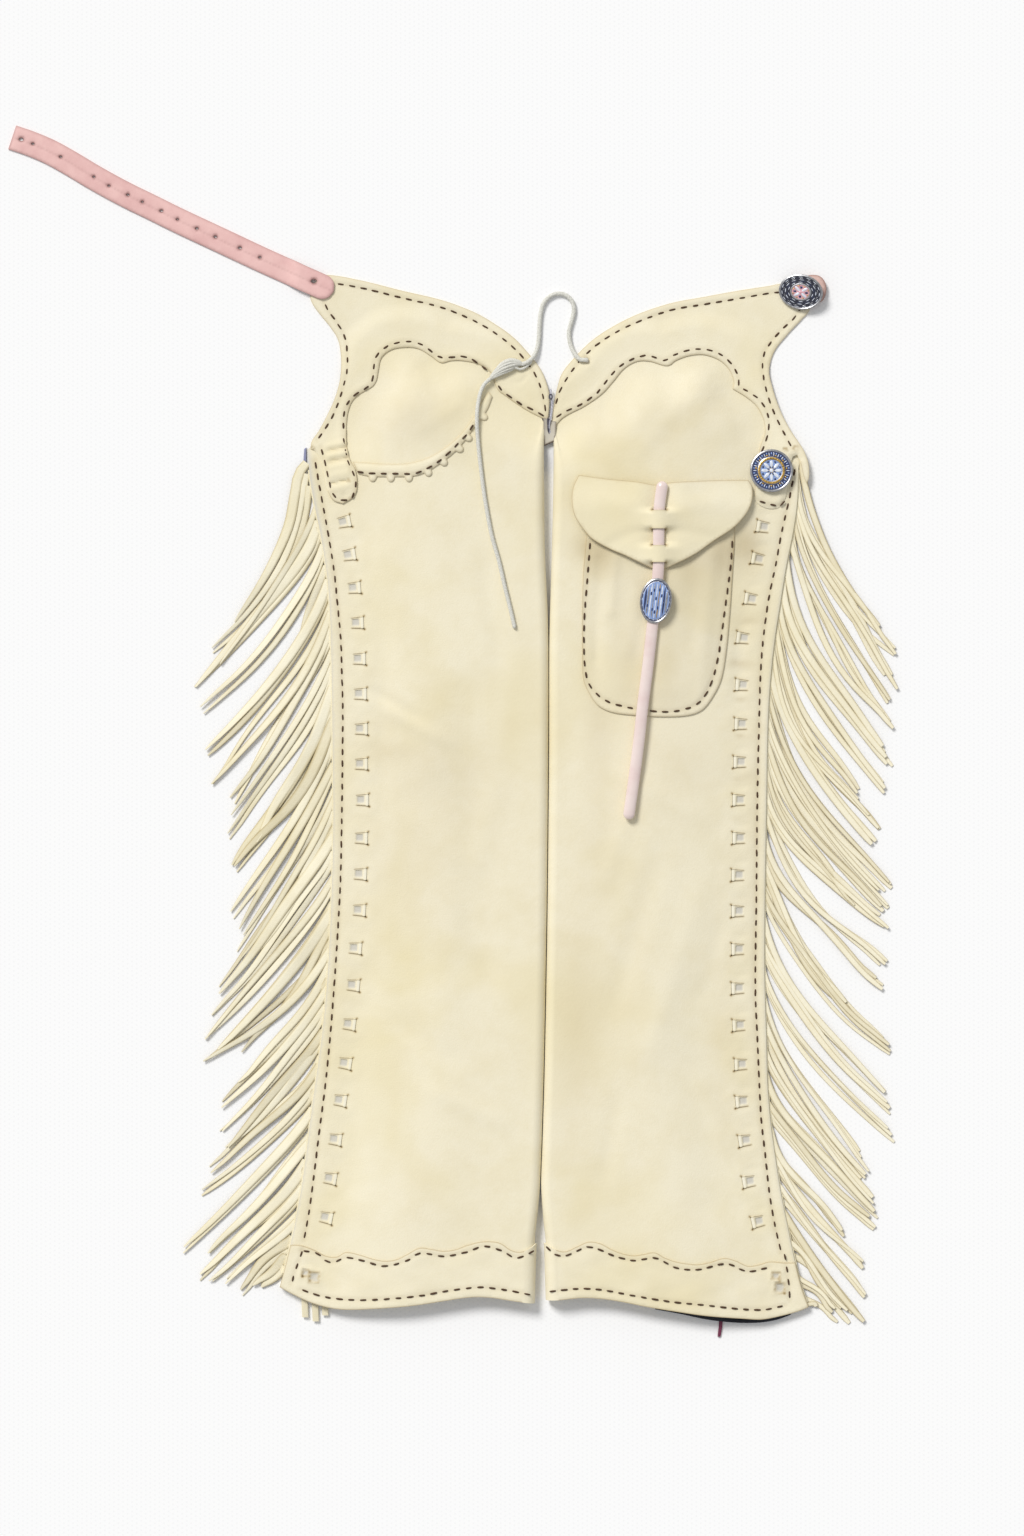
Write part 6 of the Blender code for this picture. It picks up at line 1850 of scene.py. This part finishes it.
def suede_material(name, pale, warm, shade, cut):
    """Suede that its pieces' tone darkens above 0, toward the cut edges' brown and painted shade, and
    lightens with painted highlight below 0; their pale attribute greys it with painted shade.
    """
    material, tree, shader, at = node_tree(name, 0.95, Sheen_Weight=0.25, Sheen_Roughness=0.5,
                                           Specular_IOR_Level=0.12)
    mid = noise(tree, at, 34.0, 4.0, 0.6)
    nap = noise(tree, at, 900.0, 2.0, 0.6)
    body = ramp(tree, noise(tree, at, 7.0, 3.0, 0.55, 0.4), [(0.30, warm), (0.52, pale), (0.75, pale)])
    tone = painted(tree, "tone")
    for value, low, high, to_low, to_high, colour in (
            (mid, 0.42, 0.72, 0.0, 0.35, shade), (nap, 0.35, 0.65, 0.0, 0.2, shade),
            (painted(tree, "pale"), 0.0, 1.0, 0.0, 0.85, SHADE_GREY),
            (tone, -1.0, 0.0, 0.9, 0.0, PAINTED_HIGHLIGHT), (tone, 0.0, 1.0, 0.0, 0.85, cut),
            (tone, 1.0, 2.0, 0.0, 0.9, CUT_EDGE)):
        body = mix(tree, stretch(tree, value, low, high, to_low, to_high), body, colour)
    tree.links.new(body, shader.inputs["Base Color"])
    raise_bump(tree, shader, [(mid, 0.25, 0.0012), (noise(tree, at, 260.0, 3.0, 0.6), 0.25, 0.0005),
                              (nap, 0.6, 0.0003)])
    return material


def plain_leather(name, light, dark, cut, roughness, coat=0.0):
    material, tree, shader, at = node_tree(name, roughness, Coat_Weight=coat, Coat_Roughness=0.25)
    grain = noise(tree, at, 60.0, 4.0, 0.6)
    fine = noise(tree, at, 900.0, 2.0, 0.6)
    body = ramp(tree, grain, [(0.32, dark), (0.62, light)])
    body = mix(tree, stretch(tree, painted(tree, "tone"), 0.0, 1.0, 0.0, 0.9), body, cut)
    tree.links.new(body, shader.inputs["Base Color"])
    raise_bump(tree, shader, [(grain, 0.15, 0.0006), (fine, 0.25, 0.0002)])
    return material


def cord_material(name, light, dark):
    material, tree, shader, at = node_tree(name, 0.8, Sheen_Weight=0.15)
    fibre = noise(tree, at, 1400.0, 2.0, 0.7)
    tree.links.new(ramp(tree, fibre, [(0.35, dark), (0.62, light)]), shader.inputs["Base Color"])
    raise_bump(tree, shader, [(fibre, 0.4, 0.0003)])
    return material


def metal_material(name, colour, roughness):
    material, tree, shader, at = node_tree(name, roughness, Metallic=1.0)
    worn = noise(tree, at, 420.0, 3.0, 0.6)
    dark = tuple(part * 0.62 for part in colour)
    tree.links.new(ramp(tree, worn, [(0.36, dark), (0.6, colour)]), shader.inputs["Base Color"])
    raise_bump(tree, shader, [(worn, 0.2, 0.0002)])
    return material


def enamel_material(name, colour):
    material, tree, shader, at = node_tree(name, 0.3, Coat_Weight=0.5, Coat_Roughness=0.1)
    worn = noise(tree, at, 300.0, 2.0, 0.6)
    light = tuple(min(1.0, part * 1.35 + 0.01) for part in colour)
    tree.links.new(ramp(tree, worn, [(0.35, colour), (0.7, light)]), shader.inputs["Base Color"])
    return material


DOT_PITCH = (4.55, 4.7)     # layout steps across and down


def floor_material():
    """White cloth-like table top with staggered columns of small faint dots."""
    material, tree, shader, at = node_tree("white_table", 0.9, Specular_IOR_Level=0.1)
    parts = tree.nodes.new("ShaderNodeSeparateXYZ")
    tree.links.new(at, parts.inputs[0])

    def math_node(operation, a, b=None):
        node = tree.nodes.new("ShaderNodeMath")
        node.operation = operation
        for socket, value in zip(node.inputs, (a,) if b is None else (a, b)):
            feed(tree, socket, value)
        return node.outputs[0]

    column = math_node("DIVIDE", parts.outputs[0], DOT_PITCH[0] * LAYOUT_STEP)
    whole = math_node("FLOOR", column)
    odd = math_node("MULTIPLY", math_node("MODULO", math_node("ABSOLUTE", whole), 2.0), 0.5)
    row = math_node("ADD", math_node("DIVIDE", parts.outputs[1], DOT_PITCH[1] * LAYOUT_STEP), odd)
    dx = math_node("SUBTRACT", math_node("FRACT", column), 0.5)
    dy = math_node("SUBTRACT", math_node("FRACT", row), 0.5)
    away = math_node("SQRT", math_node("ADD", math_node("MULTIPLY", dx, dx), math_node("MULTIPLY", dy, dy)))
    dot = stretch(tree, away, 0.14, 0.26, 1.0, 0.0)
    tree.links.new(mix(tree, math_node("MULTIPLY", dot, 0.5), (0.95, 0.95, 0.955), (0.86, 0.86, 0.87)),
                   shader.inputs["Base Color"])
    return material


TABLE_SIZE = 40.0
ROOM_LIGHT = 0.48
WINDOW_LIGHT = 2.45
WINDOW_RAYS = (0.72, -1.0, -1.25)   # direction in which the light falls, from the upper left


def set_stage():
    bpy.ops.mesh.primitive_plane_add(size=TABLE_SIZE, location=(0, 0, 0))
    floor = bpy.context.object
    floor.name = "table_top"
    floor.data.materials.append(floor_material())
    world = bpy.data.worlds.new("soft_room")
    bpy.context.scene.world = world
    world.use_nodes = True
    room = world.node_tree.nodes["Background"].inputs
    room["Color"].default_value = (0.97, 0.985, 1.0, 1.0)
    room["Strength"].default_value = ROOM_LIGHT
    lamp = bpy.data.lights.new("window", "SUN")
    lamp.energy = WINDOW_LIGHT
    lamp.angle = math.radians(20)
    lamp.color = (1.0, 0.985, 0.96)
    window = bpy.data.objects.new("window", lamp)
    bpy.context.scene.collection.objects.link(window)
    window.rotation_euler = Vector(WINDOW_RAYS).to_track_quat("-Z", "Y").to_euler()
    bpy.context.scene.view_settings.view_transform = "Standard"
    bpy.context.scene.view_settings.look = "None"


def set_camera():
    height = VIEW_STEPS[1] * LAYOUT_STEP
    lens = bpy.data.cameras.new("camera")
    lens.sensor_fit = "VERTICAL"
    lens.sensor_height = 36.0
    lens.lens = 36.0 * CAMERA_HEIGHT / height
    lens.clip_end = 50.0
    camera = bpy.data.objects.new("camera", lens)
    bpy.context.scene.collection.objects.link(camera)
    middle = place(*VIEW_CENTRE, 0.0)
    camera.location = (middle[0], middle[1], CAMERA_HEIGHT)
    bpy.context.scene.camera = camera


set_camera()
set_stage()

suede = suede_material("cream_suede", (0.87, 0.805, 0.62), (0.81, 0.725, 0.48), (0.77, 0.68, 0.45),
                       (0.42, 0.31, 0.15))
strand_suede = suede_material("fringe_suede", (0.93, 0.87, 0.675), (0.87, 0.795, 0.565),
                              (0.75, 0.65, 0.40), (0.36, 0.27, 0.10))
strap_leather = plain_leather("belt_leather", (0.83, 0.53, 0.50), (0.75, 0.45, 0.43),
                              (0.22, 0.09, 0.08), 0.6)
thong_leather = plain_leather("thong_leather", (0.83, 0.70, 0.66), (0.78, 0.62, 0.59),
                              (0.5, 0.3, 0.3), 0.25, coat=0.8)
stub_leather = plain_leather("stub_leather", (0.74, 0.52, 0.46), (0.56, 0.35, 0.30),
                             (0.30, 0.15, 0.12), 0.6)
lace_fibre = cord_material("lace_cord", (0.80, 0.79, 0.73), (0.50, 0.49, 0.43))
# grey-beige, a shaded copy of the cream suede: painted shade for the fork
shaded_fork_leather = plain_leather("shaded_fork_leather", (0.60, 0.56, 0.47), (0.50, 0.45, 0.37),
                             (0.10, 0.06, 0.04), 0.9)
link_fibre = cord_material("grey_cord", (0.62, 0.62, 0.70), (0.30, 0.30, 0.36))
dark_fibre = cord_material("dark_cord", (0.11, 0.10, 0.13), (0.03, 0.03, 0.045))
thread = cord_material("brown_thread", (0.095, 0.042, 0.012), (0.035, 0.015, 0.004))
facing_cloth = plain_leather("dark_facing", (0.018, 0.02, 0.03), (0.008, 0.009, 0.014),
                             (0.02, 0.02, 0.03), 0.8)
burgundy = plain_leather("burgundy_thong", (0.16, 0.02, 0.06), (0.08, 0.01, 0.03),
                         (0.05, 0.01, 0.02), 0.5)
binding_cloth = plain_leather("binding", (0.32, 0.34, 0.52), (0.22, 0.24, 0.40),
                              (0.2, 0.2, 0.3), 0.8)
METALS = {
    "silver": metal_material("concho_silver", (0.58, 0.58, 0.60), 0.34),
    "gold": metal_material("concho_gold", (0.72, 0.47, 0.14), 0.36),
    "navy": enamel_material("navy_enamel", (0.018, 0.03, 0.10)),
    "pearl": enamel_material("pearl_enamel", (0.62, 0.66, 0.74)),
    "sky": enamel_material("sky_enamel", (0.22, 0.32, 0.58)),
    "rose": enamel_material("rose_enamel", (0.60, 0.32, 0.36)),
    "black": enamel_material("black_enamel", (0.012, 0.014, 0.03)),
}
HOLE_RADIUS = 2.4
LACE_HOLE = [(LACE_ROUTE[0][0] + HOLE_RADIUS * math.cos(math.tau * k / 12),
              LACE_ROUTE[0][1] + HOLE_RADIUS * math.sin(math.tau * k / 12)) for k in range(12)]

under_laces = [make_leg(LEFT, suede), make_leg(RIGHT, suede), make_yoke(LEFT, suede),
               make_yoke(RIGHT, suede, [LACE_HOLE])]
make_band(LEFT, suede)
make_band(RIGHT, suede)
under_laces.append(make_welt(suede))
make_pocket(suede)
make_flap(suede)
make_thong(thong_leather)
make_fringe(LEFT, strand_suede)
make_fringe(RIGHT, strand_suede)
make_conchos()
make_strap(strap_leather)
make_stub(stub_leather)
make_link(link_fibre, dark_fibre)
make_gusset(shaded_fork_leather)
make_small(facing_cloth, burgundy, binding_cloth)
make_laces(trees_of(under_laces), lace_fibre)


def fine(lines):
    return [smooth_line(line, 4) for line in lines]


def over(side, far):
    return lambda x, y: side.surface(x, y) + far


def yoke_top(side):
    return lambda x, y: yoke_low(side, x, y) + LEATHER - 0.3


for side in (LEFT, RIGHT):
    make_stitches("stitches_yoke_" + side.name, fine(YOKE_STITCHES[side.name]), yoke_top(side), thread, 3)
    make_stitches("stitches_seam_" + side.name, [side.seam_stitches], over(side, 0.1), thread, 5)
for side in (LEFT, RIGHT):
    make_stitches("stitches_hem_" + side.name, fine(HEM_STITCHES[side.name]),
                  over(side, GAP + BAND_LEATHER), thread, 7)
make_stitches("stitches_pocket", fine([POCKET_STITCHES]), over(RIGHT, GAP + BAND_LEATHER), thread, 9)
make_stitches("stitches_welt", fine([WELT_STITCHES]), over(LEFT, GAP + WELT_LEATHER + 0.6), thread, 10)
